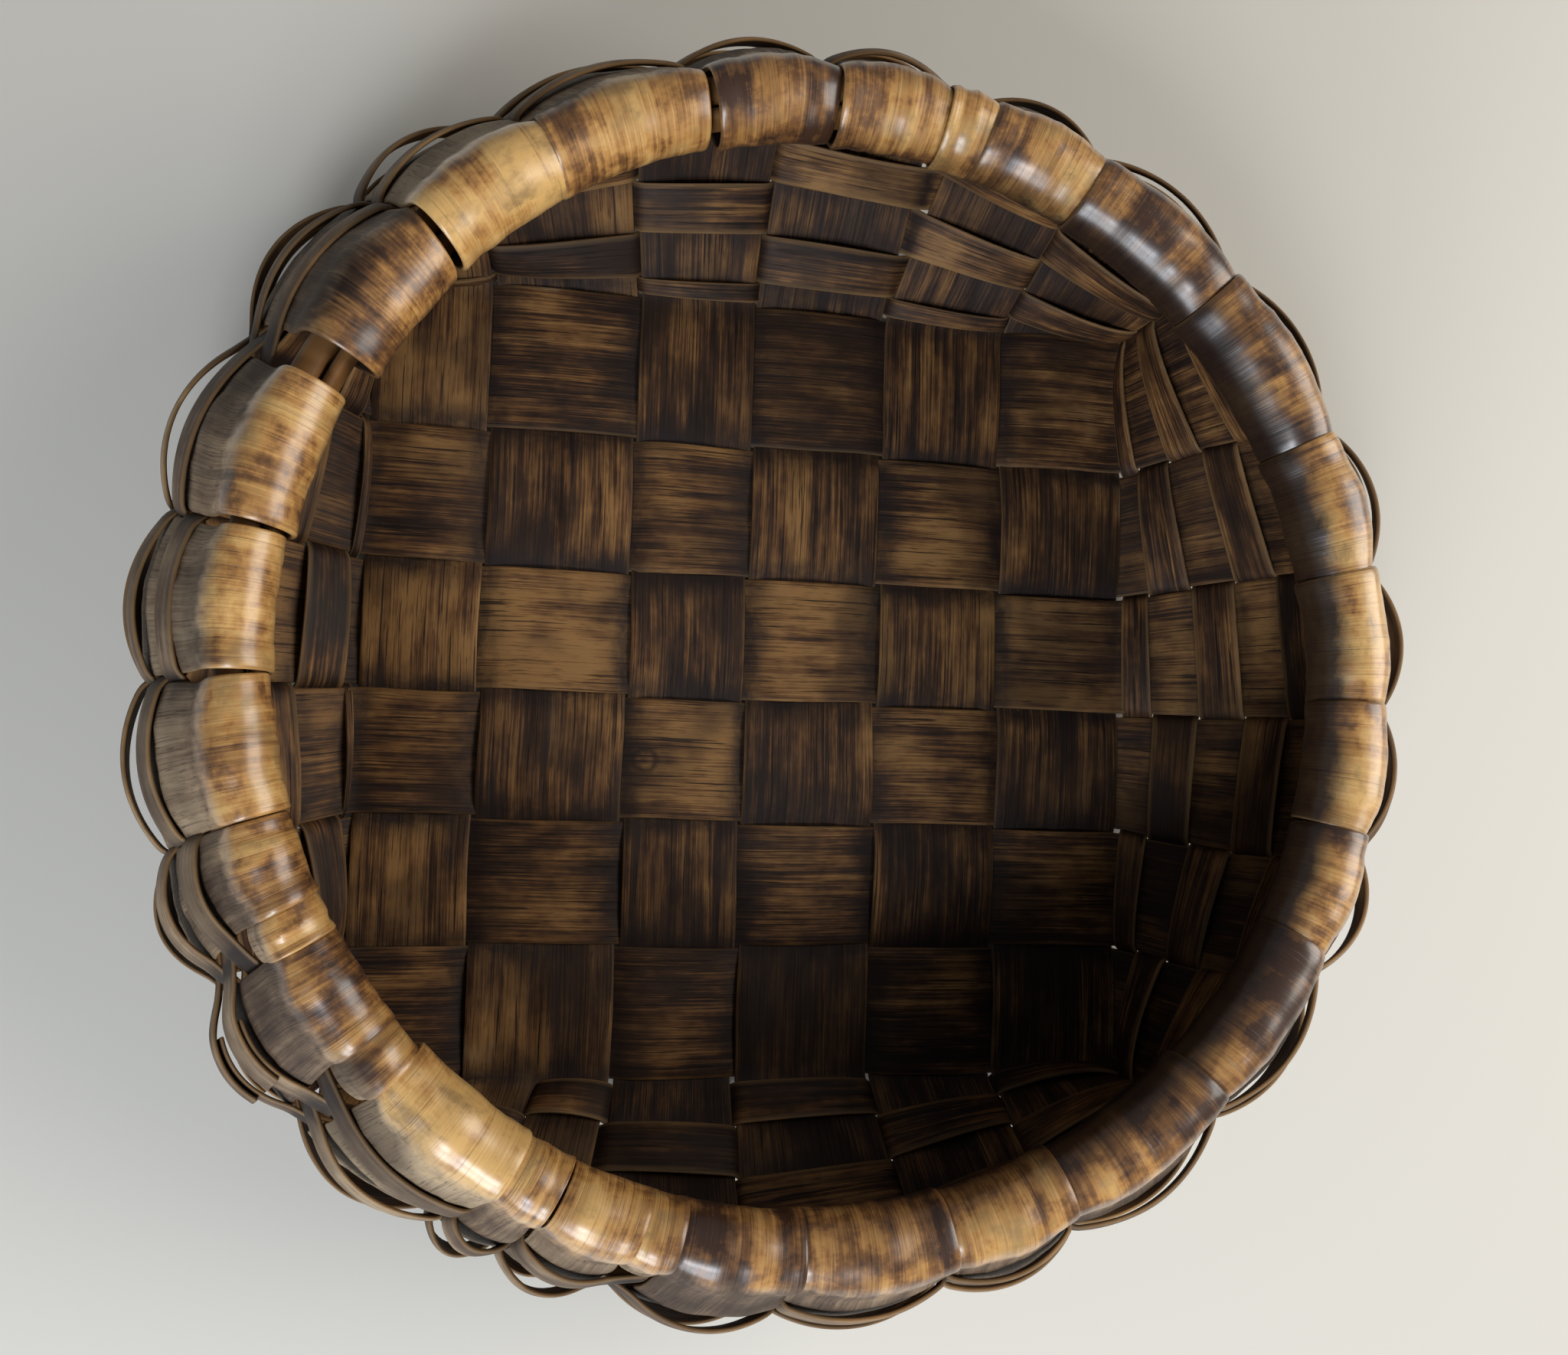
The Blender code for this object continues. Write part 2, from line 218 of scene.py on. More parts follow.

# %% [markdown]
# ## What age and use do to it
#
# The same wood has three looks. Inside it is brown and dull. On the rim, hands have polished it to
# a warm golden brown. Outside, weather has turned it grey-brown. Each sheet carries attributes that
# say how much a place is handled, weathered, and darkened by dirt and painted shade, how near a
# worn edge it is, and how light its splint is. The borders between looks are broken up by the stain
# pattern, so that no border runs straight.

# %% Colour the wood
# How much of each pattern goes into each look of the wood
BROWN_SHARES = {"fibre": 0.40, "streak": 0.44, "stain": 0.62}
GOLDEN_SHARES = {"fibre": 0.14, "streak": 0.28, "stain": 0.56, "smudges": 0.52}
GREY_SHARES = {"fibre": 0.18, "streak": 0.28, "stain": 0.40, "smudges": 0.20}
TONE_SHARE = 0.40

# Each palette runs from the darkest tone to the lightest, at these places of the mixed patterns
TONE_PLACES = (0.38, 0.465, 0.535, 0.625)
GOLDEN = ("3c271b", "75502d", "aa7c45", "cba264")
GREY = ("3d2f26", "604d3c", "826d56", "a08c71")

# The border of a look: how uneven it is, where it starts and ends, and what counts as untouched
BORDER_UNEVENNESS = 2.0
BORDER_START, BORDER_END = 0.22, 0.78
UNTOUCHED = 0.02


def one_look(tree, patterns, shares, palette):
    """One look of the wood: its patterns mixed to one tone, and the tone coloured by its palette."""
    tone = add_node(tree, "ShaderNodeAttribute", attribute_name="tone").outputs["Fac"]
    middle = 0.5 - 0.5 * (sum(shares.values()) + TONE_SHARE)
    grain = add_node(tree, "ShaderNodeMath", {0: tone, 1: TONE_SHARE, 2: middle}, operation="MULTIPLY_ADD")
    for name, share in shares.items():
        more = {0: patterns[name], 1: share, 2: grain}
        grain = add_node(tree, "ShaderNodeMath", more, operation="MULTIPLY_ADD")
    return add_node(tree, "ShaderNodeValToRGB", {0: grain}, list(zip(TONE_PLACES, palette)))


def wood_colour(tree, patterns, indoors):
    """The wood's colour from its three looks, and how much each place is weathered and handled."""
    colour = one_look(tree, patterns, BROWN_SHARES, indoors)
    masks = []
    for name, shares, palette in (("weathered", GREY_SHARES, GREY), ("handled", GOLDEN_SHARES, GOLDEN)):
        masks.append(use_mask(tree, patterns, name))
        mixed = {"Factor": masks[-1], "A": colour, "B": one_look(tree, patterns, shares, palette)}
        colour = add_node(tree, "ShaderNodeMix", mixed, data_type="RGBA")
    return colour, *masks


def use_mask(tree, patterns, name):
    """How much a place is handled or weathered, with a border broken up by stains."""
    amount = add_node(tree, "ShaderNodeAttribute", attribute_name=name).outputs["Fac"]
    uneven = add_node(tree, "ShaderNodeMath", {0: patterns["stain"], 1: 0.5}, operation="SUBTRACT")
    uneven = {0: uneven, 1: BORDER_UNEVENNESS, 2: amount}
    value = add_node(tree, "ShaderNodeMath", uneven, operation="MULTIPLY_ADD")
    border = {"Value": value, "From Min": BORDER_START, "From Max": BORDER_END}
    covered = add_node(tree, "ShaderNodeMapRange", border, interpolation_type="SMOOTHSTEP")
    touched = add_node(tree, "ShaderNodeMath", {0: amount, 1: UNTOUCHED}, operation="GREATER_THAN")
    return add_node(tree, "ShaderNodeMath", {0: covered, 1: touched}, operation="MULTIPLY")


print("looks of the wood: brown, golden and grey")

# %% Add dirt, painted shade, checks and worn edges
# Where each pattern starts to darken the wood, where it does so fully, how much, and its colour
STAINS = {
    "pores": (0.60, 0.74, 0.50, "24170e"),
    "checks": (0.62, 0.66, 0.85, "150d08"),
    "soil": (0.45, 0.62, 0.60, "2b1c12"),
    "smudges": (0.50, 0.70, 0.50, "33211c"),
    # Dirt and painted shade in the corners of the weave and on the flaps' shaded sides, near black
    "grime": (0.03, 0.42, 0.96, "1c1210"),
}
CLOSED_CHECKS = 0.25
WORN_COLOUR = "9a7a52"

# How much the relief sinks in a check, and how much each pattern raises it
CHECK_SINKS = -0.4
RAISED = {"fibre": 0.55, "streak": 0.55, "smudges": 0.15}
RELIEF_STRENGTH = 0.8


def aged_colour(tree, patterns, colour, weathered, handled, wear):
    """Darkens the pores, the checks and the smudges, darkens the corners of the weave and the flaps'
    shaded sides with dirt and painted shade, and pales the edges.
    """
    grime = add_node(tree, "ShaderNodeAttribute", attribute_name="grime").outputs["Fac"]
    dirt_and_shade_share = add_node(tree, "ShaderNodeMath", {0: grime, 1: patterns["smudges"]}, operation="MULTIPLY")
    unhandled = add_node(tree, "ShaderNodeMath", {0: 1.0, 1: handled}, operation="SUBTRACT")
    closed = add_node(tree, "ShaderNodeMath", {0: weathered, 1: handled}, operation="MAXIMUM")
    opening = {"Value": closed, "To Min": 1.0, "To Max": CLOSED_CHECKS}
    split = add_node(tree, "ShaderNodeMapRange", opening)
    where = {"pores": unhandled, "checks": split, "soil": unhandled, "smudges": handled, "grime": 1.0}
    for name, (start, end, most, dark) in STAINS.items():
        source = dirt_and_shade_share if name == "grime" else patterns[name]
        spread = {"Value": source, "From Min": start, "From Max": end, "To Max": most}
        amount = add_node(tree, "ShaderNodeMapRange", spread, interpolation_type="SMOOTHSTEP")
        share = add_node(tree, "ShaderNodeMath", {0: amount, 1: where[name]}, operation="MULTIPLY")
        stained = {"Factor": share, "A": colour, "B": linear(dark)}
        colour = add_node(tree, "ShaderNodeMix", stained, data_type="RGBA")
    edge = add_node(tree, "ShaderNodeAttribute", attribute_name="edge").outputs["Fac"]
    worn = add_node(tree, "ShaderNodeMath", {0: edge, 1: patterns["streak"]}, operation="MULTIPLY")
    worn = add_node(tree, "ShaderNodeMath", {0: worn, 1: wear}, operation="MULTIPLY")
    paled = {"Factor": worn, "A": colour, "B": linear(WORN_COLOUR)}
    return add_node(tree, "ShaderNodeMix", paled, data_type="RGBA")


def wood_relief(tree, patterns, depth):
    """Bump from the raised fibres and the open checks."""
    start, end = STAINS["checks"][:2]
    checks = {"Value": patterns["checks"], "From Min": start, "From Max": end, "To Max": CHECK_SINKS}
    height = add_node(tree, "ShaderNodeMapRange", checks)
    for name, share in RAISED.items():
        raised = {0: patterns[name], 1: share, 2: height}
        height = add_node(tree, "ShaderNodeMath", raised, operation="MULTIPLY_ADD")
    bump = {"Height": height, "Distance": depth, "Strength": RELIEF_STRENGTH}
    return add_node(tree, "ShaderNodeBump", bump)


print("dark stains:", ", ".join(STAINS))

# %% [markdown]
# ## A knot
#
# One row splint has a small knot. A branch left a dark ring of bark about four millimetres from its
# heart, and the wood round it is stained. The profile from the heart outwards is a ramp, and its
# greys say how dark each part is. The knot's place is given on that splint's own stretch of the
# UV map, so no other piece shows it.

# %% Mark the knot
KNOT_PLACE = (1.2605, 3.6050, 0.0)
KNOT_REACH = 0.022
KNOT_UNEVENNESS = 0.22
KNOT_COLOUR = "1e130c"
HEART_PROFILE = ((0.0, "d0d0d0"), (0.09, "808080"))
RING_PROFILE = ((0.17, "f0f0f0"), (0.25, "b0b0b0"))
STAIN_PROFILE = ((0.5, "909090"), (1.0, "000000"))


def with_knot(tree, patterns, colour):
    """The colour, darkened round the knot."""
    away = {0: patterns["metres"], 1: KNOT_PLACE}
    away = add_node(tree, "ShaderNodeVectorMath", away, operation="DISTANCE")
    away = add_node(tree, "ShaderNodeMath", {0: away, 1: KNOT_REACH}, operation="DIVIDE")
    uneven = {0: patterns["smudges"], 1: KNOT_UNEVENNESS, 2: away}
    away = add_node(tree, "ShaderNodeMath", uneven, operation="MULTIPLY_ADD")
    away = add_node(tree, "ShaderNodeMath", {0: away, 1: KNOT_UNEVENNESS / 2}, operation="SUBTRACT")
    profile = HEART_PROFILE + RING_PROFILE + STAIN_PROFILE
    share = add_node(tree, "ShaderNodeValToRGB", {0: away}, profile)
    darkened = {"Factor": share, "A": colour, "B": linear(KNOT_COLOUR)}
    return add_node(tree, "ShaderNodeMix", darkened, data_type="RGBA")


print("the knot's stain reaches", KNOT_REACH * 1000, "mm")

# %% [markdown]
# ## Three woods
#
# A splint is riven thin and shaved. The weaver is riven narrower and left rougher, and it is out in
# the weather all its life. The hoops are shaved poles that show only in gaps. Wood that nobody
# varnished reflects little: its roughness is about two thirds, and its open pores hold back half of
# its reflection. Hands leave a thin skin of grease on the rim that fills its pores, so there the
# wood gets a coat, and its roughness is little more than a third.

# %% Put the woods together
STREAK_ROUGHNESS = 0.12
PORE_SPECULAR = 0.27
GREASE_COAT = 0.95
GREASE_ROUGHNESS = 0.28
SPLINT_BROWN = ("22160f", "432c1b", "6c4a2a", "916b3f")
POLE_BROWN = ("3a2515", "6b4826", "8f6638", "b08a58")


def riven_wood(name, indoors, bare, polished, relief, wear):
    """A wood with its three looks, its dirt and painted shade, its knot, and its polish where it is
    handled.
    """
    wood = bpy.data.materials.new(name)
    wood.use_nodes = True
    tree = wood.node_tree
    tree.nodes.clear()
    patterns = grain_patterns(tree)
    colour, weathered, handled = wood_colour(tree, patterns, indoors)
    colour = with_knot(tree, patterns, aged_colour(tree, patterns, colour, weathered, handled, wear))
    least = STREAK_ROUGHNESS / 2
    shine = {"Value": handled, "To Min": bare - least, "To Max": polished - least}
    shine = add_node(tree, "ShaderNodeMapRange", shine)
    rough = {0: patterns["streak"], 1: STREAK_ROUGHNESS, 2: shine}
    rough = add_node(tree, "ShaderNodeMath", rough, operation="MULTIPLY_ADD")
    coat = add_node(tree, "ShaderNodeMath", {0: handled, 1: GREASE_COAT}, operation="MULTIPLY")
    surface = {
        "Base Color": colour,
        "Roughness": rough,
        "Normal": wood_relief(tree, patterns, relief),
        "Specular IOR Level": PORE_SPECULAR,
        "Coat Weight": coat,
        "Coat Roughness": GREASE_ROUGHNESS,
    }
    shader = add_node(tree, "ShaderNodeBsdfPrincipled", surface)
    add_node(tree, "ShaderNodeOutputMaterial", {"Surface": shader})
    return wood


# Roughness where bare and where handled, depth of the relief in metres, and paleness of worn edges
splint_wood = riven_wood("riven_chestnut_splint", SPLINT_BROWN, 0.66, 0.38, 0.00030, 0.4)
weaver_wood = riven_wood("riven_chestnut_weaver", SPLINT_BROWN, 0.62, 0.40, 0.00035, 0.9)
hoop_wood = riven_wood("shaved_chestnut_hoop", POLE_BROWN, 0.60, 0.40, 0.00020, 0.0)
print("woods:", splint_wood.name, weaver_wood.name, hoop_wood.name)

# %% [markdown]
# ## The curve of the wall
#
# The wall starts square, at the edge of the base, and ends round, at the rim. Going up, its
# section is one Bezier curve, and the excess of the square's corners over a circle fades out. The
# hand-made rim is slightly oval and lies a little off centre, and the upper wall drifts with it.
# On the left its belly is a little fuller and its shoulder steeper. Each place on the wall has an
# angle, clockwise from the far side, and a rise from 0 at the base to 1 at the rim.

# %% Describe the wall's section
SPLINT_THICKNESS = 0.0016
BASE_HALF = 0.1395
LOW_LEVEL = 0.0008
HIGH_LEVEL = 0.0028
WALL_FOOT = (LOW_LEVEL + HIGH_LEVEL) / 2
WALL_CURVE = ((BASE_HALF, WALL_FOOT), (0.184, 0.028), (0.207, 0.067), (0.1736, 0.1060))
CORNER_FADE = 2.5
RIM_OFFSET = (0.0037, 0.0011)
RIM_OVALNESS = 0.00135
DRIFT_START = 0.5
DRIFT_POWER = 1.5
LEFT_BELLY, LEFT_SHOULDER = 0.006, 0.0020
BELLY_START, SHOULDER_START = 0.15, 0.68
CURVE_POINTS = 161


def bezier(points, share):
    """Radius and height at a share of the way along a curve with these four control points."""
    first, second, third, last = (np.array(point) for point in points)
    share = np.asarray(share)[..., None]
    rest = 1.0 - share
    lower_half = rest**3 * first + 3 * rest**2 * share * second
    return lower_half + 3 * rest * share**2 * third + share**3 * last


def lengths_from_start(points):
    steps = np.linalg.norm(np.diff(points, axis=0), axis=1)
    return np.concatenate(([0.0], np.cumsum(steps)))


curve_shares = np.linspace(0.0, 1.0, CURVE_POINTS)
curve_lengths = lengths_from_start(bezier(WALL_CURVE, curve_shares))
slant = curve_lengths[-1]
print("wall's slant height in mm:", round(slant * 1000, 1))

# %% Find places on the wall
OUTWARD_TURN = 0.035
OUTWARD_RISE = 0.02


def ring(angle, radius, height):
    """Points from angles, radii and heights, which may be single numbers or arrays."""
    angle, radius, height = np.broadcast_arrays(angle, radius, height)
    return np.stack((radius * np.sin(angle), radius * np.cos(angle), height), axis=-1)


def rim_drift(angle):
    """How much further out the rim lies at an angle than a true circle would."""
    offset = RIM_OFFSET[0] * np.sin(angle) + RIM_OFFSET[1] * np.cos(angle)
    return offset + RIM_OVALNESS * np.cos(2 * angle)


def hump(share, start, end):
    """0 up to a start and from an end on, and 1 half-way between them."""
    return np.sin(math.pi * np.clip((share - start) / (end - start), 0.0, 1.0))


def wall_place(angle, rise):
    angle, rise = np.broadcast_arrays(angle, rise)
    share = np.interp(rise * slant, curve_lengths, curve_shares)
    radius, height = np.moveaxis(bezier(WALL_CURVE, share), -1, 0)
    corner = BASE_HALF / np.maximum(abs(np.sin(angle)), abs(np.cos(angle))) - BASE_HALF
    drift = np.maximum(0.0, (share - DRIFT_START) / (1.0 - DRIFT_START)) ** DRIFT_POWER
    belly = LEFT_BELLY * hump(share, BELLY_START, SHOULDER_START)
    shoulder = LEFT_SHOULDER * hump(share, SHOULDER_START, 1.0)
    radius = radius + (belly - shoulder) * (1.0 - np.sin(angle)) / 2
    radius = radius + corner * (1.0 - share) ** CORNER_FADE + rim_drift(angle) * drift
    return ring(angle, radius, height)


def unit(vectors):
    return vectors / np.linalg.norm(vectors, axis=-1, keepdims=True)


def wall_outward(angle, rise):
    """Unit vectors that point out of the wall."""
    around = wall_place(angle + OUTWARD_TURN, rise) - wall_place(angle - OUTWARD_TURN, rise)
    above = wall_place(angle, np.minimum(rise + OUTWARD_RISE, 1.0))
    below = wall_place(angle, np.maximum(rise - OUTWARD_RISE, 0.0))
    return unit(np.cross(above - below, around))


print("widest radius in mm:", round(1000 * bezier(WALL_CURVE, curve_shares)[:, 0].max(), 1))

# %% [markdown]
# ## The splints' widths and the stakes
#
# The splints were split by eye, so their widths differ by a tenth or more. Where a splint leaves
# the base, its two corners give the stake's foot. Where it folds over the rim, two angles give its
# flap. Between them, each line of the stake leans evenly from one to the other.

# %% Lay out the base
BASE_SPLINT_GAP = 0.0012
ROW_SHARES = (1.14, 1.03, 0.95, 0.94, 0.94, 1.00)
COLUMN_SHARES = (0.88, 1.10, 0.91, 1.05, 1.00, 1.06)


def splint_edges(shares):
    """The two edges of each splint across the base, from the negative side to the positive."""
    width = 2 * BASE_HALF / sum(shares)
    ends = np.cumsum([0.0, *shares]) * width - BASE_HALF
    return [(low + BASE_SPLINT_GAP / 2, high - BASE_SPLINT_GAP / 2) for low, high in zip(ends, ends[1:])]


columns = splint_edges(COLUMN_SHARES)
rows = [(-high, -low) for low, high in splint_edges(ROW_SHARES)]
print("mean splint width in mm:", round(1000 * np.mean([high - low for low, high in rows + columns]), 1))

# %% List the flaps
# The stretch of rim that each flap covers in degrees, clockwise from the lowest row's left end
LEFT_FLAPS = ((229.5, 240), (244, 252.5), (253, 266), (267, 280), (281, 295.5), (299.5, 314))
TOP_FLAPS = ((315, 329), (329, 345.5), (346.5, 359), (359.5, 10.5), (15.5, 27.5), (27.5, 45))
RIGHT_FLAPS = ((45, 63.5), (63.5, 78), (78, 92), (92, 105.5), (105.5, 118), (118, 135.5))
BOTTOM_FLAPS = ((135.5, 154), (154, 166.5), (166.5, 181.5), (181.5, 193.5), (197.5, 211), (211, 225))
FILLER_FLAPS = ((10.5, 15.5), (193.5, 197.5), (225, 229.5), (240, 244))

# How much further into the basket than the plainest flap each one reaches, in millimetres
LEFT_REACHES = (-1.8, -2.2, -2.4, -1.8, 0.0, 4.0)
TOP_REACHES = (3.0, 2.5, 2.5, 3.2, 3.6, 3.8)
RIGHT_REACHES = (3.8, 3.6, 3.2, 2.8, 1.5, 0.8)
BOTTOM_REACHES = (1.5, 2.0, 2.0, 1.0, 0.0, 0.0)
flaps = LEFT_FLAPS + TOP_FLAPS + RIGHT_FLAPS + BOTTOM_FLAPS
reaches = LEFT_REACHES + TOP_REACHES + RIGHT_REACHES + BOTTOM_REACHES
print("flaps:", len(flaps), "fillers:", len(FILLER_FLAPS))

# %% Give each stake its foot and its flap
STAKE_INSET = math.radians(0.08)
INSET_RISE = 0.035
FLAP_OVERLAP = math.radians(0.4)

# How far back, in radians, an angle may lie and still count as past the angle before it
NEIGHBOUR_SLACK = 0.02
FOOT_SLACK = 0.1


def onward(angle, before):
    """The same direction, counted on past the angle before it."""
    return angle + math.tau * math.ceil((before - angle) / math.tau)


class Stake:
    """The upturned end of a splint. Across it, places run from -1 to 1, clockwise."""

    def __init__(self, foot, rim, reach, before):
        self.foot = np.array(foot)
        self.start = onward(math.atan2(*self.foot[0]), before)
        self.rim = rim
        self.reach = reach
        self.number = 0

    def angle(self, across, rise):
        """The angle of a place across the stake, at this rise."""
        share = (np.asarray(across)[..., None] + 1) / 2
        point = self.foot[0] + (self.foot[1] - self.foot[0]) * share
        base = np.arctan2(point[..., 0], point[..., 1])
        base = self.start + np.mod(base - self.start + FOOT_SLACK, math.tau) - FOOT_SLACK
        drawn_in = STAKE_INSET * np.minimum(1.0, np.minimum(rise, 1.0 - rise) / INSET_RISE)
        return base + (self.rim_angle(across) - base) * rise - drawn_in * across

    def rim_angle(self, across):
        share = (np.asarray(across) + 1) / 2
        return self.rim[0] + (self.rim[1] - self.rim[0]) * share


print("flaps overlap by degrees:", round(math.degrees(FLAP_OVERLAP), 2))


# %% Make the 24 stakes
def stake_feet():
    """Where each splint end leaves the base: two corners, clockwise from the lowest row's left end."""
    left = [((-BASE_HALF, low), (-BASE_HALF, high)) for low, high in reversed(rows)]
    top = [((low, BASE_HALF), (high, BASE_HALF)) for low, high in columns]
    right = [((BASE_HALF, high), (BASE_HALF, low)) for low, high in rows]
    bottom = [((high, -BASE_HALF), (low, -BASE_HALF)) for low, high in reversed(columns)]
    return left + top + right + bottom


stakes = []
for stake_foot, flap, flap_reach in zip(stake_feet(), flaps, reaches):
    before = stakes[-1] if stakes else Stake(stake_foot, (0.0, 0.0), 0.0, 0.0)
    flap_start = onward(math.radians(flap[0]), before.rim[1] - NEIGHBOUR_SLACK) - FLAP_OVERLAP / 2
    flap_end = onward(math.radians(flap[1]), flap_start) + FLAP_OVERLAP / 2
    stakes.append(Stake(stake_foot, (flap_start, flap_end), flap_reach / 1000, before.start))
left_stakes, top_stakes, right_stakes, bottom_stakes = (stakes[i : i + 6] for i in (0, 6, 12, 18))
left_stakes.reverse()
bottom_stakes.reverse()
print("stakes:", len(stakes))

# %% Split the foot of the second column in two
SPLIT_COLUMN = 1
SPLIT_SHARE = 0.62
HALF_PARTING = 0.002


def split_stake(whole):
    """The two stakes that come from splitting one along the grain, clockwise."""
    middle = (whole.foot[0] + whole.foot[1]) / 2
    parting = whole.rim[0] + (whole.rim[1] - whole.rim[0]) * SPLIT_SHARE
    first_rim = (whole.rim[0], parting - HALF_PARTING)
    second_rim = (parting + HALF_PARTING, whole.rim[1])
    first = Stake((whole.foot[0], middle), first_rim, whole.reach, whole.start - NEIGHBOUR_SLACK)
    second = Stake((middle, whole.foot[1]), second_rim, whole.reach, first.start)
    return first, second


halves = split_stake(bottom_stakes[SPLIT_COLUMN])
split_place = stakes.index(bottom_stakes[SPLIT_COLUMN])
woven = stakes[:split_place] + list(halves) + stakes[split_place + 1 :]
for number, stake in enumerate(woven):
    stake.number = number
print("stakes that the weaver passes:", len(woven))

# %% [markdown]
# ## How the weaver climbs
#
# The weaver passes outside one stake and inside the next. The number of stakes is odd, so each
# round does the opposite of the one below it. It starts tapered at the foot of the wall and climbs
# by one width in each turn. The first four rounds are wide, and the last five are narrower, since
# the maker kept the finest weavers for the shoulder under the rim.
#
# Where the weaver pulls a stake in, the stake gives a little, and where it pushes it out, too. So
# each stake is a slow wave, and shows inside as pillowed cells. Higher up it is also bent across
# its grain, like a roof tile.

# %% Describe the spiral
WIDE_ROUNDS = 4
ROUNDS = 9
WEAVER_LOW = 0.016
WIDE_TOP = 0.560
LAST_ROUND_TOP = 0.940
WEAVER_HIGH = 0.985
WEAVER_GAP = 0.0030
TAPERED_START = 0.06
STAKES_LEFT_AT_END = 5
STAKE_WAVE = 0.0010
FOOT_FADE = 0.08
RIM_FADE = 0.06
STAKE_DOME = 0.0038
FULL_DOME_WIDTH = 0.19
turn_marks = (-TAPERED_START, WIDE_ROUNDS, ROUNDS - 1, ROUNDS)
rise_marks = (WEAVER_LOW, WIDE_TOP, LAST_ROUND_TOP, WEAVER_HIGH)


def weaver_edges(turn):
    """The rise of the weaver's lower and upper edge after this many turns of the spiral."""
    lower, upper = np.interp((turn - 1, turn), turn_marks, rise_marks)
    return lower + (WEAVER_GAP if lower > WEAVER_LOW else 0.0), upper


def turns_below(stake, rise):
    """How many turns of the spiral pass a stake below this rise."""
    return np.interp(rise, rise_marks, turn_marks) - stake.number / len(woven)


def stake_wave(stake, rise):
    """How far the weaver pushes a stake out of the wall at this rise."""
    first_push = STAKE_WAVE if stake.number % 2 == 1 else -STAKE_WAVE
    fade = np.clip(rise / FOOT_FADE, 0.0, 1.0) * np.clip((1.0 - rise) / RIM_FADE, 0.0, 1.0)
    return first_push * np.sin(math.pi * turns_below(stake, rise)) * fade


def dome_height(rim_angle):
    """How far a stake is domed across its grain at the rim: a narrow one less."""
    return STAKE_DOME * min(1.0, (rim_angle(1.0) - rim_angle(-1.0)) / FULL_DOME_WIDTH)


print("width of the wide weaver in mm:", round(WIDE_TOP / (WIDE_ROUNDS + TAPERED_START) * slant * 1000, 1))

# %% [markdown]
# ## Sheets of wood
#
# Every splint is one thin sheet. It starts as a flat grid. A table of points, the net, gives each
# of its vertices a place along the splint's route, and the last columns of the net hold how
# handled the wood is there, how darkened by dirt and painted shade, and how near an edge. The net
# is measured out in even steps and softened a little, because wood bends in curves and never in
# corners. Solidify then gives it its thickness, thinner towards the edges, and a bevel takes the
# sharpness off.

# %% Even out and soften a net
ROUTE_STEP = 0.0024

# The columns of a net after its three coordinates
CHANNELS = ("handled", "grime", "edge")
HANDLED, DIRT_AND_PAINTED_SHADE, EDGE = 3, 4, 5


def blank_net(rows, edge):
    """A net of zeros, with only its worn edges marked."""
    net = np.zeros((rows, len(edge), 3 + len(CHANNELS)))
    net[..., EDGE] = edge
    return net


def even_rows(net, step=ROUTE_STEP):
    """The same net with its rows one step apart, measured along its middle."""
    along = lengths_from_start(net[:, net.shape[1] // 2, :3])
    wanted = np.linspace(0.0, along[-1], int(along[-1] / step) + 1)
    flat = net.reshape(len(net), -1)
    even = np.stack([np.interp(wanted, along, flat[:, i]) for i in range(flat.shape[1])], axis=1)
    return even.reshape(len(wanted), *net.shape[1:])


def smooth_step(value, low, high):
    share = np.clip((value - low) / (high - low), 0.0, 1.0)
    return share * share * (3.0 - 2.0 * share)


def rise_and_fall(value, start, full, fading, end):
    """A value's share of a hump that rises from start to full and falls from fading to end."""
    return smooth_step(value, start, full) * (1.0 - smooth_step(value, fading, end))


def soften(net, reach):
    """Rounds the bends along a net, over a reach given in rows."""
    offsets = np.arange(-math.ceil(3 * reach), math.ceil(3 * reach) + 1)
    weights = np.exp(-0.5 * (offsets / reach) ** 2)
    weights /= weights.sum()
    count = -offsets[0]
    before = 2 * net[:1] - net[count:0:-1]
    after = 2 * net[-1:] - net[-2 : -count - 2 : -1]
    longer = np.concatenate((before, net, after))
    return sum(weight * longer[i : i + len(net)] for i, weight in enumerate(weights))


print("a splint's rows are", ROUTE_STEP * 1000, "mm apart")


# %% Make soft random relief
def soft_noise(shape, cells, seed):
    """Smooth random values from -1 to 1, drawn between the points of a coarser grid."""
    coarse = np.random.default_rng(seed).uniform(-1.0, 1.0, cells)
    for axis in (0, 1):
        place = np.linspace(0.0, coarse.shape[axis] - 1.001, shape[axis])
        low = place.astype(int)
        share = smooth_step(place - low, 0.0, 1.0)
        share = share[:, None] if axis == 0 else share[None, :]
        coarse = coarse.take(low, axis) * (1.0 - share) + coarse.take(low + 1, axis) * share
    return coarse


def roughen(net, waves, seed):
    """Moves a net along its normals. Each wave is a height, a length in rows and a count across."""
    along = np.gradient(net[..., :3], axis=0)
    across = np.gradient(net[..., :3], axis=1)
    normals = unit(np.cross(along, across))
    for number, (height, length, count) in enumerate(waves):
        relief = height * soft_noise(net.shape[:2], (max(2, len(net) // length), count), seed + number)
        net[..., :3] += normals * relief[..., None]


print("soft noise peaks at", round(float(soft_noise((50, 50), (9, 9), 1).max()), 2))

# %% Turn a net into a sheet
# How far apart the UV maps of two pieces lie, so that no two show the same wood
SEED_SHIFT = (0.31, 0.83)


def vectors_of(mesh, label):
    """One row for each vertex: its place with the label co, its normal with vector."""
    source = mesh.vertex_normals if label == "vector" else mesh.vertices
    flat = np.empty(len(source) * 3)
    source.foreach_get(label, flat)
    return flat.reshape(-1, 3)


def store_values(mesh, label, values):
    """Stores a value for each vertex, which the wood reads by its label."""
    mesh.attributes.new(label, "FLOAT", "POINT").data.foreach_set("value", values)


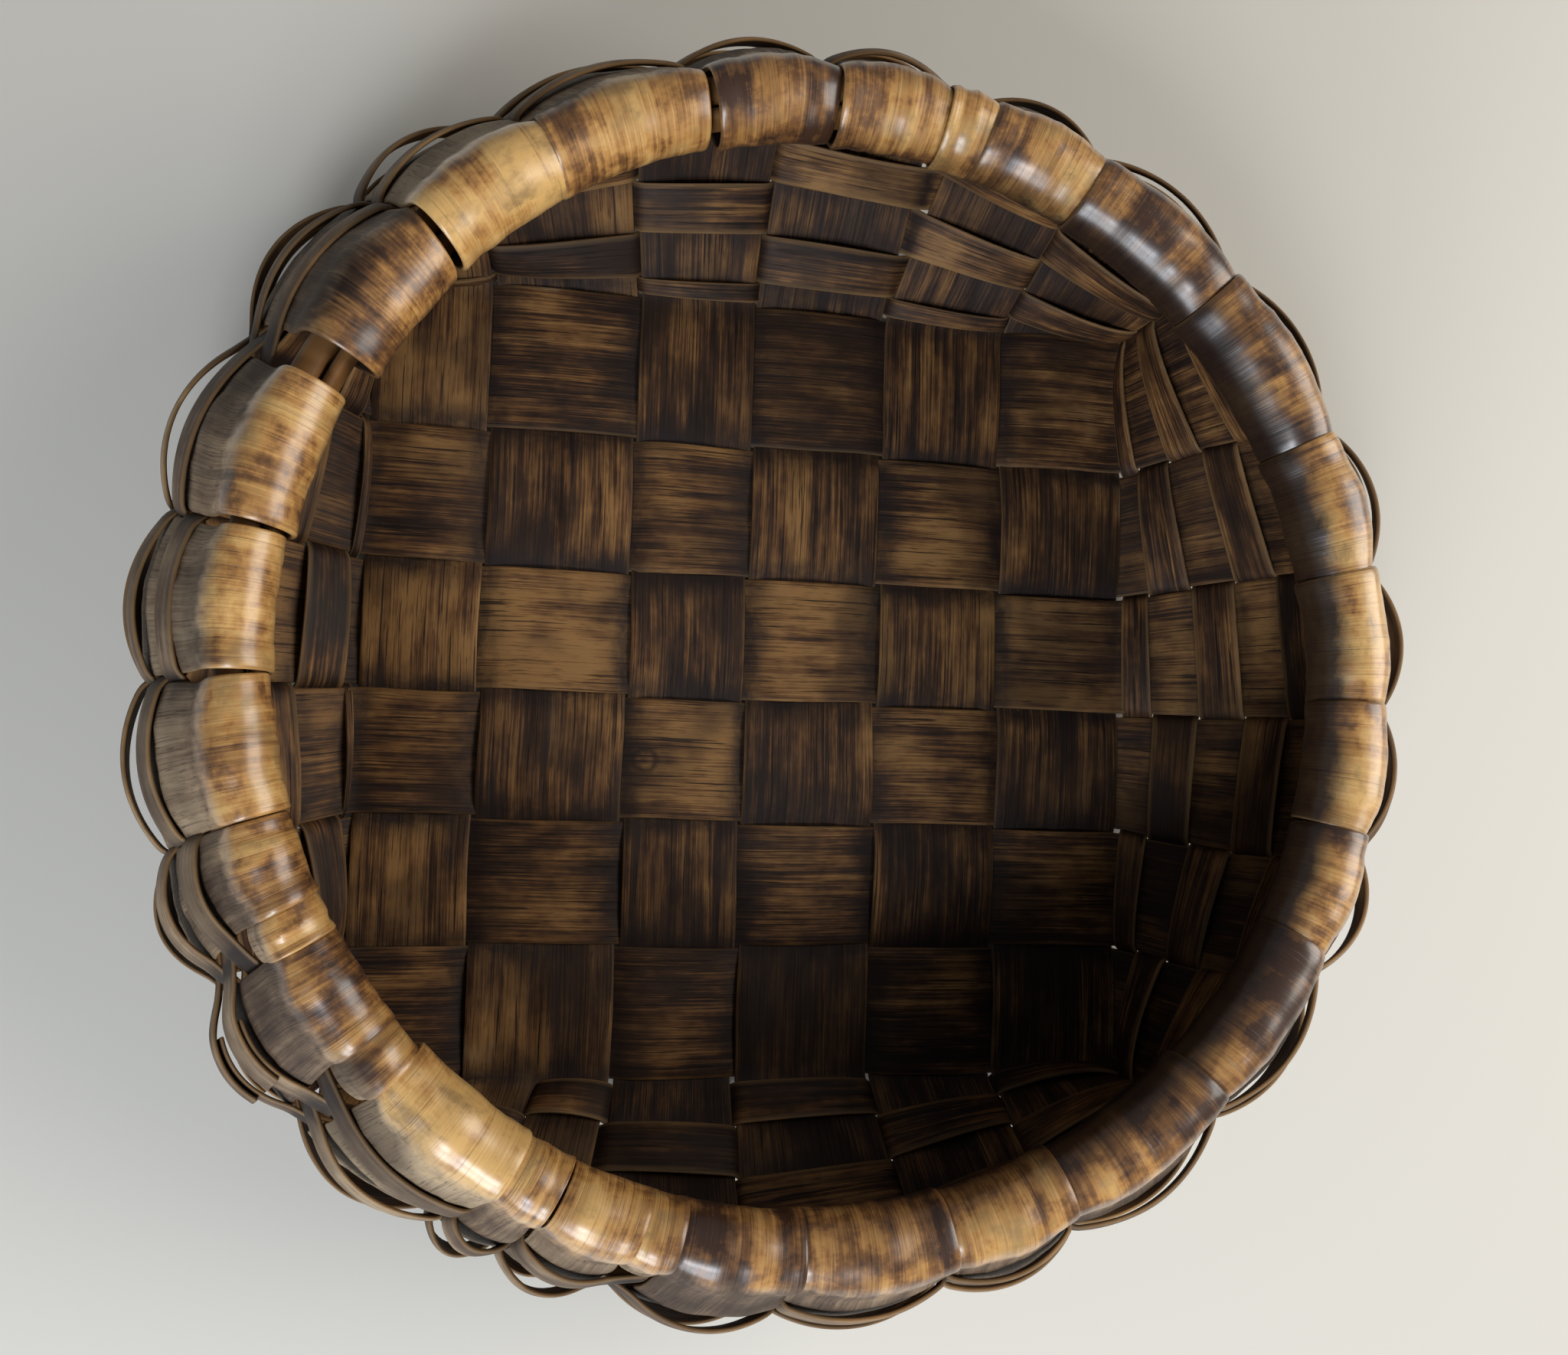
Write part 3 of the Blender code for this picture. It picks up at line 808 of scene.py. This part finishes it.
def store_uv(mesh, across, along, seed):
    """Fills the UV map from each vertex's place across and along the wood, in metres."""
    places = np.stack((across + SEED_SHIFT[0] * seed, along), axis=1)
    corners = np.empty(len(mesh.loops), int)
    mesh.loops.foreach_get("vertex_index", corners)
    mesh.uv_layers["UVMap"].data.foreach_set("uv", places[corners].ravel())


def cut_slit(piece, row, column, cut_column, last_row):
    """Deletes the faces between two columns of the net, from its start to one row."""
    bpy.ops.object.mode_set(mode="EDIT")
    bpy.ops.mesh.select_mode(type="FACE")
    bpy.ops.mesh.select_all(action="DESELECT")
    bpy.ops.object.mode_set(mode="OBJECT")
    for face in piece.data.polygons:
        corners = np.array(face.vertices)
        face.select = bool(column[corners].min() == cut_column and row[corners].min() < last_row)
    bpy.ops.object.mode_set(mode="EDIT")
    bpy.ops.mesh.delete(type="FACE")
    bpy.ops.object.mode_set(mode="OBJECT")


def grid_sheet(name, net, seed, slit=None):
    """A grid whose vertices take their places from the net, with its UV map in metres."""
    size = net.shape[:2]
    bpy.ops.object.select_all(action="DESELECT")
    bpy.ops.mesh.primitive_grid_add(x_subdivisions=size[0] - 1, y_subdivisions=size[1] - 1, size=2)
    piece = bpy.context.object
    piece.name = f"{name}_wood"
    mesh = piece.data
    mesh.name = piece.name
    shares = (vectors_of(mesh, "co")[:, :2] + 1) / 2
    row, column = np.rint(shares * (np.array(size) - 1)).astype(int).T
    mesh.vertices.foreach_set("co", net[row, column, :3].ravel())
    for channel, label in enumerate(CHANNELS, start=3):
        store_values(mesh, label, net[row, column, channel])
    along = lengths_from_start(net[:, size[1] // 2, :3]) + SEED_SHIFT[1] * seed
    across = lengths_from_start(net[size[0] // 2, :, :3])
    store_uv(mesh, across[column], along[row], seed)
    if slit:
        cut_slit(piece, row, column, *slit)
    return piece


print("attributes of a sheet:", ", ".join(CHANNELS))

# %% Thicken a sheet
EDGE_THINNESS = 0.62
EDGE_BEVEL = 0.00035


def thicken(piece, thickness):
    """Gives a sheet its thickness, less at its long edges, and rounds its edges a little."""
    edges = [item.value for item in piece.data.attributes["edge"].data]
    group = piece.vertex_groups.new(name="thickness")
    for index, edge in enumerate(edges):
        group.add([index], 1.0 - (1.0 - EDGE_THINNESS) * edge, "REPLACE")
    solidify = piece.modifiers.new("thickness", "SOLIDIFY")
    solidify.thickness = thickness
    solidify.offset = 0.0
    solidify.use_quality_normals = True
    solidify.vertex_group = group.name
    bevel = piece.modifiers.new("worn edges", "BEVEL")
    bevel.width = EDGE_BEVEL
    bevel.segments = 2
    bevel.limit_method = "ANGLE"
    bevel.angle_limit = math.radians(50)
    for modifier in (solidify.name, bevel.name):
        bpy.ops.object.modifier_apply(modifier=modifier)
    bpy.ops.object.shade_smooth_by_angle(angle=math.radians(40))


print("a splint's edge in mm:", round(SPLINT_THICKNESS * EDGE_THINNESS * 1000, 2))

# %% Weather and dress a piece
FACING_GAIN = 1.6
OUTSIDE_START = 0.145
OUTSIDE_FADE = 0.015


def weather(piece, strength):
    """Stores how much each vertex is weathered: fully where it faces out of the basket."""
    places = vectors_of(piece.data, "co")[:, :2]
    normals = vectors_of(piece.data, "vector")[:, :2]
    radius = np.maximum(np.linalg.norm(places, axis=1), 0.01)
    facing = np.clip((normals * places).sum(axis=1) / radius * FACING_GAIN, 0.0, 1.0)
    outside = facing * np.clip((radius - OUTSIDE_START) / OUTSIDE_FADE, 0.0, 1.0)
    store_values(piece.data, "weathered", outside * strength)


def dress(piece, wood, tone, node):
    """Gives a finished piece its wood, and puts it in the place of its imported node."""
    piece.data.materials.clear()
    piece.data.materials.append(wood)
    store_values(piece.data, "tone", np.full(len(piece.data.vertices), tone))
    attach(piece, "root")
    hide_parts(node)


# %% [markdown]
# ## The fold over the rim
#
# The fold goes on from the wall without a crease, over both hoops, and its end is tucked down behind
# the inner hoop. Its section is two Bezier curves, one on each side of its highest point. A wide
# splint that is bent one way resists lying flat the other way, so each flap is domed between its
# edges and lies a little over its neighbour. No two reach equally far into the basket, and their
# edges are seldom square to the rim. The flaps on the right are darkened on their inner side, away
# from the main lamp, with dirt and painted shade, and on the right the golden look reaches further
# out, as painted light on the slope that faces the lamp. Those on the left have painted shade in
# dark blotches on their outer slope, where the golden wood meets the grey. The tucked ends get dirt
# and painted shade too.

# %% Describe the fold's section
FLAP_TOP = (0.1635, 0.1227)
OUTER_CURVE = (WALL_CURVE[-1], (0.1688, 0.1118), (0.1696, 0.1227), FLAP_TOP)
INNER_CURVE = (FLAP_TOP, (0.1575, 0.1227), (0.1527, 0.1186), (0.1527, 0.1135))
FLAP_TUCK = ((0.1529, 0.1080), (0.1545, 0.1045), (0.1577, 0.1020))
CURVE_STEPS = 20


def flap_section():
    """Radius and height along a flap, from the top of the wall to its tucked end."""
    shares = np.linspace(0.0, 1.0, CURVE_STEPS)
    outer, inner = bezier(OUTER_CURVE, shares), bezier(INNER_CURVE, shares)
    return np.concatenate((outer, inner[1:], FLAP_TUCK))


section = flap_section()
section_out = unit(np.gradient(section, axis=0)[:, ::-1] * (1.0, -1.0))
fold_lengths = lengths_from_start(section)
print("length of the fold in mm:", round(1000 * fold_lengths[-1], 1))

# %% Shape a flap
FLAP_DOME_SHARE = 0.5
DOME_VARIES = (0.7, 1.3)
LAP_LIFT = 0.0013
FLAP_RELIEF = 0.0006
SKEW = math.radians(1.3)
SKEW_CENTRE = 0.4

# Shares of the fold, from the wall to the tucked end
fold = (fold_lengths / fold_lengths[-1])[:, None]
DOME_LESSENS = (0.0, 0.5)
DOME_ENDS = (0.5, 0.95)
REACHES_IN = (0.25, 0.85, 0.90, 1.0)


def flap_lift(across, full_dome, dome_share, seed):
    """How far a flap stands off the plain fold: its dome, its lap and its small bumps."""
    arch = np.sin(math.pi * fold)
    dome = 1.0 + (dome_share - 1.0) * smooth_step(fold, *DOME_LESSENS)
    dome = dome * full_dome * (1.0 - smooth_step(fold, *DOME_ENDS))
    lift = dome * (1.0 - across**2) + LAP_LIFT * smooth_step(-across, 0.5, 1.0) * arch**0.5
    return lift + FLAP_RELIEF * soft_noise(lift.shape, (5, 7), seed) * arch


print("a flap is domed by mm:", FLAP_DOME_SHARE * STAKE_DOME * 1000)

# %% Darken a flap with dirt and painted shade, and build its net
# Shares of the fold again, and how strongly the two sides of the basket get dirt and painted shade
HANDLED_FROM, HANDLED_FULLY = 0.02, 0.46
HANDLED_VARIES = (-0.12, 0.10)
# Painted light: the golden look starts further out on the right flaps, whose outer slope faces the main
# lamp
GOLDEN_PAINTED_LIGHT_ON_RIGHT = 0.07
# Dirt and painted shade on the inner side of the right flaps, which faces away from the main lamp
RIGHT_INNER_DIRT_AND_SHADE, RIGHT_INNER_DIRT_AND_SHADE_STRETCH = 1.4, (0.47, 0.70)
# Painted shade on the outer slope of the left flaps, which faces away from the main lamp
LEFT_OUTER_SHADE, LEFT_OUTER_SHADE_STRETCH = 0.45, (0.08, 0.22, 0.25, 0.40)
# Dirt and painted shade on the tucked end, down behind the inner hoop
TUCKED_DIRT_AND_SHADE = (0.80, 0.95)


def flap_dirt_and_painted_shade(side):
    """Dirt and painted shade along a flap, where side is -1 for the left of the basket and 1 for the
    right.
    """
    inner_dirt_and_shade = RIGHT_INNER_DIRT_AND_SHADE * max(0.0, side) * smooth_step(fold, *RIGHT_INNER_DIRT_AND_SHADE_STRETCH)
    outer_shade = LEFT_OUTER_SHADE * max(0.0, -side) * rise_and_fall(fold, *LEFT_OUTER_SHADE_STRETCH)
    return np.maximum(np.maximum(inner_dirt_and_shade, outer_shade), smooth_step(fold, *TUCKED_DIRT_AND_SHADE))


def flap_net(rim_angle, across, edge, reach, seed):
    """The net of a flap: its fold over the hoops and its tucked end."""
    random = np.random.default_rng(seed)
    dome_share = FLAP_DOME_SHARE * random.uniform(*DOME_VARIES)
    skew = random.uniform(-SKEW, SKEW, 2)
    side = math.sin(rim_angle(0.0))
    # Painted light: on the right the golden look moves out towards the wall
    border = random.uniform(*HANDLED_VARIES) - GOLDEN_PAINTED_LIGHT_ON_RIGHT * side
    lift = flap_lift(across, dome_height(rim_angle), dome_share, seed)
    lean = np.where(across < 0, skew[0], skew[1]) * abs(across) * (fold - SKEW_CENTRE)
    angle = rim_angle(across) + lean
    radius, height = ((section[:, i, None] + section_out[:, i, None] * lift) for i in (0, 1))
    radius = radius + rim_drift(angle) - reach * rise_and_fall(fold, *REACHES_IN)
    net = blank_net(len(fold), edge)
    net[..., :3] = ring(angle, radius, height)
    net[..., HANDLED] = smooth_step(fold, HANDLED_FROM + border, HANDLED_FULLY + border)
    net[..., DIRT_AND_PAINTED_SHADE] = flap_dirt_and_painted_shade(side)
    return net


# Prints the strength of the dirt and painted shade on the right flaps and of the painted shade on the left
# ones
print("dirt and painted shade on the right, painted shade on the left:", RIGHT_INNER_DIRT_AND_SHADE, LEFT_OUTER_SHADE)

# %% Build the net of a stake
WALL_ROWS = 88
DOMED_FROM, DOMED_FULLY = 0.35, 0.9
STAKE_RELIEF = 0.0004
LESS_AT_EDGES = 0.3
FOOT_BLEND = 0.12

# Dirt and painted shade on a stake midway between two crossings, and how much more of it there is at them
WALL_DIRT_AND_SHADE = 0.35
CROSSING_DIRT_AND_SHADE = 0.3


def stake_net(stake, across, edge, foot_level, seed):
    """The net of a stake, from the edge of the base up the wall and over the rim."""
    rises = np.linspace(0.0, 1.0, WALL_ROWS + 2)[1:-1, None]
    angle = stake.angle(across, rises)
    dome = dome_height(stake.rim_angle) * smooth_step(rises, DOMED_FROM, DOMED_FULLY)
    wave = stake_wave(stake, rises) * (1.0 - LESS_AT_EDGES * across**2)
    push = wave + dome * (1.0 - across**2)
    push = push + STAKE_RELIEF * soft_noise(push.shape, (9, 5), seed + 7)
    net = blank_net(WALL_ROWS, edge)
    net[..., :3] = wall_place(angle, rises) + wall_outward(angle, rises) * push[..., None]
    net[..., 2] += (foot_level - WALL_FOOT) * np.clip(1.0 - rises / FOOT_BLEND, 0.0, 1.0)
    # Dirt and painted shade on the stake, more of it at the crossings
    net[..., DIRT_AND_PAINTED_SHADE] = WALL_DIRT_AND_SHADE + CROSSING_DIRT_AND_SHADE * np.cos(math.tau * turns_below(stake, rises))
    return np.concatenate((net, flap_net(stake.rim_angle, across, edge, stake.reach, seed)))


print("a stake gives by mm:", STAKE_WAVE * 1000)

# %% [markdown]
# ## The base
#
# A row goes under the first column and over the second, and the next row does the opposite. Where
# a splint passes over, it is slightly crowned, and where it passes under, it lies flat. Where it
# dips, dirt and painted shade darken it. From the edge of the base both ends go up the wall, and
# fold over the rim.

# %% Build the net of a splint across the base
CROWN = 0.0012
# How far from a crossed splint's edge the dirt and painted shade reach
DIRT_AND_PAINTED_SHADE_REACH = 0.0050
ACROSS_LINES = 20
EDGE_LINE = 0.955
BASE_ROWS = 150
EDGE_WANDER = 0.0005


def base_profile(place, crossed, over):
    """Height of a splint across the base, over and under the splints that it crosses, and its dirt and
    painted shade.
    """
    height = np.empty_like(place)
    dirt = np.zeros_like(place)
    for number, (start, end) in enumerate(crossed):
        middle, half = (start + end) / 2, (end - start + BASE_SPLINT_GAP) / 2
        here = abs(place - middle) <= half + 1e-6
        share = (place[here] - middle) / half
        rises = over == (number % 2 == 0)
        height[here] = HIGH_LEVEL + CROWN * (1.0 - share**2) if rises else LOW_LEVEL
        # Dirt and painted shade, darkest at the ends of each stretch, where one splint dips under another
        dirt[here] = np.exp(-(1.0 - abs(share)) * half / DIRT_AND_PAINTED_SHADE_REACH)
    return height, dirt


def base_net(crossed, over, edges, across, edge, along_x, seed):
    """The net of a splint's stretch of the base."""
    place = np.linspace(-BASE_HALF, BASE_HALF, BASE_ROWS)
    height, dirt = base_profile(place, crossed, over)
    wandering = np.array(edges) + EDGE_WANDER * soft_noise((BASE_ROWS, 2), (12, 2), seed + 3)
    first, last = wandering[:, :1], wandering[:, 1:]
    net = blank_net(BASE_ROWS, edge)
    net[..., 0 if along_x else 1] = place[:, None]
    net[..., 1 if along_x else 0] = first + (last - first) * (across + 1) / 2
    net[..., 2] = height[:, None]
    net[..., DIRT_AND_PAINTED_SHADE] = dirt[:, None]
    return net


def mark_edges(places):
    """1 at the two edges of a splint and 0 at its other lines."""
    return np.where(abs(places) > EDGE_LINE + 0.01, 1.0, 0.0)


even_places = np.linspace(-EDGE_LINE, EDGE_LINE, ACROSS_LINES)
splint_places = np.concatenate(([-1.0], even_places, [1.0]))
print("points across a splint:", len(splint_places))

# %% Make one splint from its net
SPLINT_SOFTENING = 1.6
SPLINT_WAVES = ((0.00022, 6, 12), (0.00014, 20, 18))
SPLINT_WEATHERING = 0.9
FAR_END_SEED = 50
ROW_TONES = (0.45, 0.55, 0.70, 0.60, 0.50, 0.40)
COLUMN_TONES = (0.75, 0.55, 0.35, 0.45, 0.50, 0.40)


def splint_net(net, seed):
    net = soften(even_rows(net), SPLINT_SOFTENING)
    roughen(net, SPLINT_WAVES, seed + 11)
    return net


def finish_splint(name, net, seed, tone, slit=None):
    """Makes a splint's sheet from its evened net."""
    piece = grid_sheet(name, net, seed, slit)
    thicken(piece, SPLINT_THICKNESS)
    weather(piece, SPLINT_WEATHERING)
    dress(piece, splint_wood, tone, name)
    return piece


print("softening in mm:", round(SPLINT_SOFTENING * ROUTE_STEP * 1000, 2))


# %% Make the six row splints
def row_splint(number):
    seed = 1 + number
    places, edge = splint_places, mark_edges(splint_places)
    base = base_net(columns, number % 2 == 1, rows[number], places, edge, True, seed)
    left = stake_net(left_stakes[number], places, edge, base[0, 0, 2], seed)[::-1]
    right = stake_net(right_stakes[number], -places, edge, base[-1, 0, 2], seed + FAR_END_SEED)
    net = splint_net(np.concatenate((left, base, right)), seed)
    return finish_splint(f"row_splint_{number + 1}", net, seed, ROW_TONES[number])


row_pieces = [row_splint(number) for number in range(6)]
print("triangles in a row splint:", sum(len(face.vertices) - 2 for face in row_pieces[0].data.polygons))

# %% Split a foot
SPLIT_HALF_WIDTH = 0.008
SPLIT_CLEARANCE = 0.06
SPLIT_LENGTH = 0.27


def split_places():
    """Places across a splint with two close lines at its middle, which part where it is split."""
    clear = splint_places[abs(splint_places) > SPLIT_CLEARANCE]
    return np.sort(np.concatenate((clear, (-SPLIT_HALF_WIDTH, SPLIT_HALF_WIDTH))))


def split_foot_net(across, edge, foot_level, seed):
    """The net of a foot that is split in two, as one net whose middle pair of lines parts."""
    first, second = halves
    on_second = across > 0
    near = stake_net(first, np.where(on_second, 0.0, across * 2 + 1), edge, foot_level, seed)
    far = stake_net(second, np.where(on_second, across * 2 - 1, 0.0), edge, foot_level, seed)
    return np.where(on_second[None, :, None], far, near)


print("the split stake's halves meet at", round(math.degrees(halves[0].rim[1]) % 360, 1), "degrees")


# %% Make the six column splints
def column_splint(number):
    seed = 21 + number
    split = number == SPLIT_COLUMN
    places = split_places() if split else splint_places
    edge = mark_edges(places)
    crossed = list(reversed(rows))
    base = base_net(crossed, number % 2 == 1, columns[number], places, edge, False, seed)
    top = stake_net(top_stakes[number], places, edge, base[-1, 0, 2], seed)
    foot_seed = seed + FAR_END_SEED
    if split:
        foot = split_foot_net(-places, edge, base[0, 0, 2], foot_seed)
    else:
        foot = stake_net(bottom_stakes[number], -places, edge, base[0, 0, 2], foot_seed)
    net = splint_net(np.concatenate((foot[::-1], base, top))[:, ::-1], seed)
    slit = (len(places) // 2 - 1, int(SPLIT_LENGTH * len(net))) if split else None
    name = f"column_splint_{number + 1}"
    return finish_splint(name, net, seed, COLUMN_TONES[number], slit)


column_pieces = [column_splint(number) for number in range(6)]
print("column splints:", len(column_pieces))

# %% [markdown]
# ## The weaver
#
# The weaver is stiff, so it bulges out between the places where it is held, and the outside of the
# basket is scalloped. Where it passes inside, it bulges less. Each new length laps over the end of
# the one before.

# %% Describe the weaver's path
BULGE_RISES = (WEAVER_LOW, 0.40, 0.60, 0.75, 0.95)
OUTSIDE_BULGES = (0.0030, 0.0095, 0.0094, 0.0084, 0.0062)
RIGHT_BULGE = 0.0020
RIGHT_BULGE_FROM, RIGHT_BULGE_FULLY = 0.5, 0.8
INSIDE_BULGE = 0.0045
PASSING_STEP = 0.0017
STAKE_EDGE = 0.42
LAP_START = -0.26
LAP_END = 0.24
LAP_STEP = 0.0018
EDGE_TILT = 0.0010
BULGE_VARIES = (0.92, 1.10)
bulge_sizes = np.random.default_rng(8).uniform(*BULGE_VARIES, ROUNDS * len(woven) + 2)


def weaver_angle(index, place, rise):
    """The angle at a place across a stake, from -0.5 in the gap before it to 0.5 in the one after."""
    side = 1 if place > 0 else -1
    count = len(woven)
    stake, beside = woven[index % count], woven[(index + side) % count]
    middle = stake.angle(0.0, rise) + math.tau * (index // count)
    edge = stake.angle(float(side), rise) + math.tau * (index // count)
    gap = (edge + beside.angle(float(-side), rise) + math.tau * ((index + side) // count)) / 2
    share = min(abs(place) / STAKE_EDGE, 1.0)
    beyond = max(abs(place) - STAKE_EDGE, 0.0) / (0.5 - STAKE_EDGE)
    return middle + (edge - middle) * share + (gap - edge) * beyond


def weaver_offset(index, place, rise, lapped):
    """How far the weaver stands off the wall: outside every second stake, and inside the rest."""
    side = 1 if index % 2 else -1
    if side > 0:
        bulge = np.interp(rise, BULGE_RISES, OUTSIDE_BULGES)
        to_right = math.sin(woven[index % len(woven)].rim_angle(0.0))
        fuller = smooth_step(rise, RIGHT_BULGE_FROM, RIGHT_BULGE_FULLY)
        bulge = bulge + RIGHT_BULGE * to_right * fuller
    else:
        bulge = INSIDE_BULGE
    bulge = bulge * bulge_sizes[index]
    across = abs(place) / STAKE_EDGE
    if across > 1.0:
        offset = PASSING_STEP * (0.5 - abs(place)) / (0.5 - STAKE_EDGE)
    else:
        offset = PASSING_STEP + (bulge - PASSING_STEP) * (1.0 - across**2)
    if lapped:
        offset = offset + LAP_STEP * np.interp(place, (LAP_END, 0.5), (1.0, 0.0))
    return side * offset


print("the weaver passes", ROUNDS * len(woven) - STAKES_LEFT_AT_END, "stakes")

# %% Build the net of one round
STEPS_A_STAKE = 30
WEAVER_LINES = 9
GAP_DIRT_AND_SHADE_FADES = 12.0


def weaver_net(number):
    """The net of one round of the weaver, with its dirt and painted shade at the crossings."""
    count = len(woven)
    first = number * count
    last = first + count - (STAKES_LEFT_AT_END if number == ROUNDS - 1 else 0)
    turns = np.arange(first + LAP_START, last + LAP_END, 1.0 / STEPS_A_STAKE)
    across = np.linspace(0.0, 1.0, WEAVER_LINES)
    net = blank_net(len(turns), mark_edges(2 * across - 1))
    for row, turn in enumerate(turns):
        index = int(math.floor(turn + 0.5))
        place = turn - index
        lower, upper = weaver_edges(turn / count)
        rise = lower + (upper - lower) * across
        angle = weaver_angle(index, place, rise)
        tilt = EDGE_TILT * (across - 0.5) * math.cos(math.pi * place) * (1 if index % 2 else 0)
        offset = weaver_offset(index, place, rise, number > 0 and index == first) + tilt
        net[row, :, :3] = wall_place(angle, rise) + wall_outward(angle, rise) * np.reshape(offset, (-1, 1))
        # Dirt and painted shade, darkest where the weaver passes between two stakes
        net[row, :, DIRT_AND_PAINTED_SHADE] = math.exp(-abs(abs(place) - 0.5) * GAP_DIRT_AND_SHADE_FADES)
    return net[:, ::-1]


print("points across the weaver:", WEAVER_LINES)

# %% Make the nine rounds of the weaver
WEAVER_STEP = 0.0015
WEAVER_SOFTENING = 0.9
WEAVER_THICKNESS = 0.0015
WEAVER_WAVES = ((0.00030, 16, 3), (0.00030, 40, 2))
WEAVER_TONES = (0.45, 0.40, 0.50, 0.55, 0.45, 0.60, 0.50, 0.55, 0.45)

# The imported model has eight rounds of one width, and its last one stands for two of these
REPLACED = (1, 2, 3, 4, 5, 6, 7, 8, 8)


def weaver_round(number):
    seed = 41 + number
    net = soften(even_rows(weaver_net(number), WEAVER_STEP), WEAVER_SOFTENING)
    roughen(net, WEAVER_WAVES, seed)
    piece = grid_sheet(f"weaver_round_{number + 1}", net, seed)
    thicken(piece, WEAVER_THICKNESS)
    weather(piece, 1.0)
    dress(piece, weaver_wood, WEAVER_TONES[number], f"weaver_round_{REPLACED[number]}")
    return piece


weaver_pieces = [weaver_round(number) for number in range(ROUNDS)]
print("triangles in a round:", sum(len(face.vertices) - 2 for face in weaver_pieces[1].data.polygons))

# %% [markdown]
# ## The rim hoops
#
# Two hoops stiffen the rim, a thick one outside and a thin one inside. They show only in the gaps
# between flaps. Each starts as a torus, whose vertices are moved to a section with rounded corners
# and out to the rim's slight oval. Their UV map is blank, so no pattern of the wood varies on them,
# and they are one even brown.

# %% Make the two hoops
# The inner and outer radius, and the lowest and highest level
OUTER_HOOP = (0.1602, 0.1680, 0.1066, 0.1175)
INNER_HOOP = (0.1556, 0.1596, 0.1050, 0.1160)
HOOP_STEPS = 180
HOOP_SIDES = 16
HOOP_ROUNDING = 0.6
HOOP_WEATHERING = 0.6
HOOP_TONE = 0.5
TORUS_RADIUS = 2.0


def towards_corners(share):
    """A share of half a box's width or height, pushed out towards the box's corners."""
    return np.copysign(abs(share) ** HOOP_ROUNDING, share)


def rim_hoop(name, box):
    """A closed hoop with rounded corners and a blank UV map."""
    inner, outer, low, high = box
    bpy.ops.object.select_all(action="DESELECT")
    torus = {"major_segments": HOOP_STEPS, "minor_segments": HOOP_SIDES}
    torus.update({"major_radius": TORUS_RADIUS, "minor_radius": 1.0})
    bpy.ops.mesh.primitive_torus_add(**torus, generate_uvs=False)
    piece = bpy.context.object
    piece.name = f"{name}_wood"
    mesh = piece.data
    places = vectors_of(mesh, "co")
    angle = np.arctan2(places[:, 0], places[:, 1])
    turn = np.arctan2(places[:, 2], np.hypot(places[:, 0], places[:, 1]) - TORUS_RADIUS)
    across = (outer - inner) / 2 * towards_corners(np.cos(turn))
    up = (high - low) / 2 * towards_corners(np.sin(turn))
    radius = (inner + outer) / 2 + across + rim_drift(angle)
    mesh.vertices.foreach_set("co", ring(angle, radius, (low + high) / 2 + up).ravel())
    mesh.uv_layers.new(name="UVMap", do_init=False)
    for channel in CHANNELS:
        mesh.attributes.new(channel, "FLOAT", "POINT")
    bpy.ops.object.shade_smooth_by_angle(angle=math.radians(50))
    weather(piece, HOOP_WEATHERING)
    dress(piece, hoop_wood, HOOP_TONE, name)
    return piece


hoops = [rim_hoop("rim_hoop_outer", OUTER_HOOP), rim_hoop("rim_hoop_inner", INNER_HOOP)]
print("hoops:", [hoop.name for hoop in hoops])

# %% [markdown]
# ## The fillers
#
# Where two flaps leave the hoops bare between them, the maker folded a short narrow splint over
# the rim to close the gap.

# %% Fold the four fillers
FILLER_LINES = 9
FILLER_REACHES = (0.0030, 0.0, -0.0022, -0.0024)
FILLER_STEP = 0.0015
FILLER_SOFTENING = 0.7
FILLER_TONE = 0.6


def rim_filler(number):
    start, end = (math.radians(angle) for angle in FILLER_FLAPS[number])
    across = np.linspace(-1.0, 1.0, FILLER_LINES)
    seed = 71 + number

    def rim_angle(place):
        return start + (end - start) * (place + 1) / 2

    net = flap_net(rim_angle, across, mark_edges(across), FILLER_REACHES[number], seed)
    net = soften(even_rows(net, FILLER_STEP), FILLER_SOFTENING)
    return finish_splint(f"rim_filler_{number + 1}", net, seed, FILLER_TONE)


filler_pieces = [rim_filler(number) for number in range(len(FILLER_FLAPS))]
print("fillers:", len(filler_pieces))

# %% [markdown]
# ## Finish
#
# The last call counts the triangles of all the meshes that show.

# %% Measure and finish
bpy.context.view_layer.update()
pieces = [thing for thing in bpy.data.objects if thing.type == "MESH" and not thing.hide_render]
triangles = sum(len(face.vertices) - 2 for piece in pieces for face in piece.data.polygons)
print("triangles in all:", triangles)
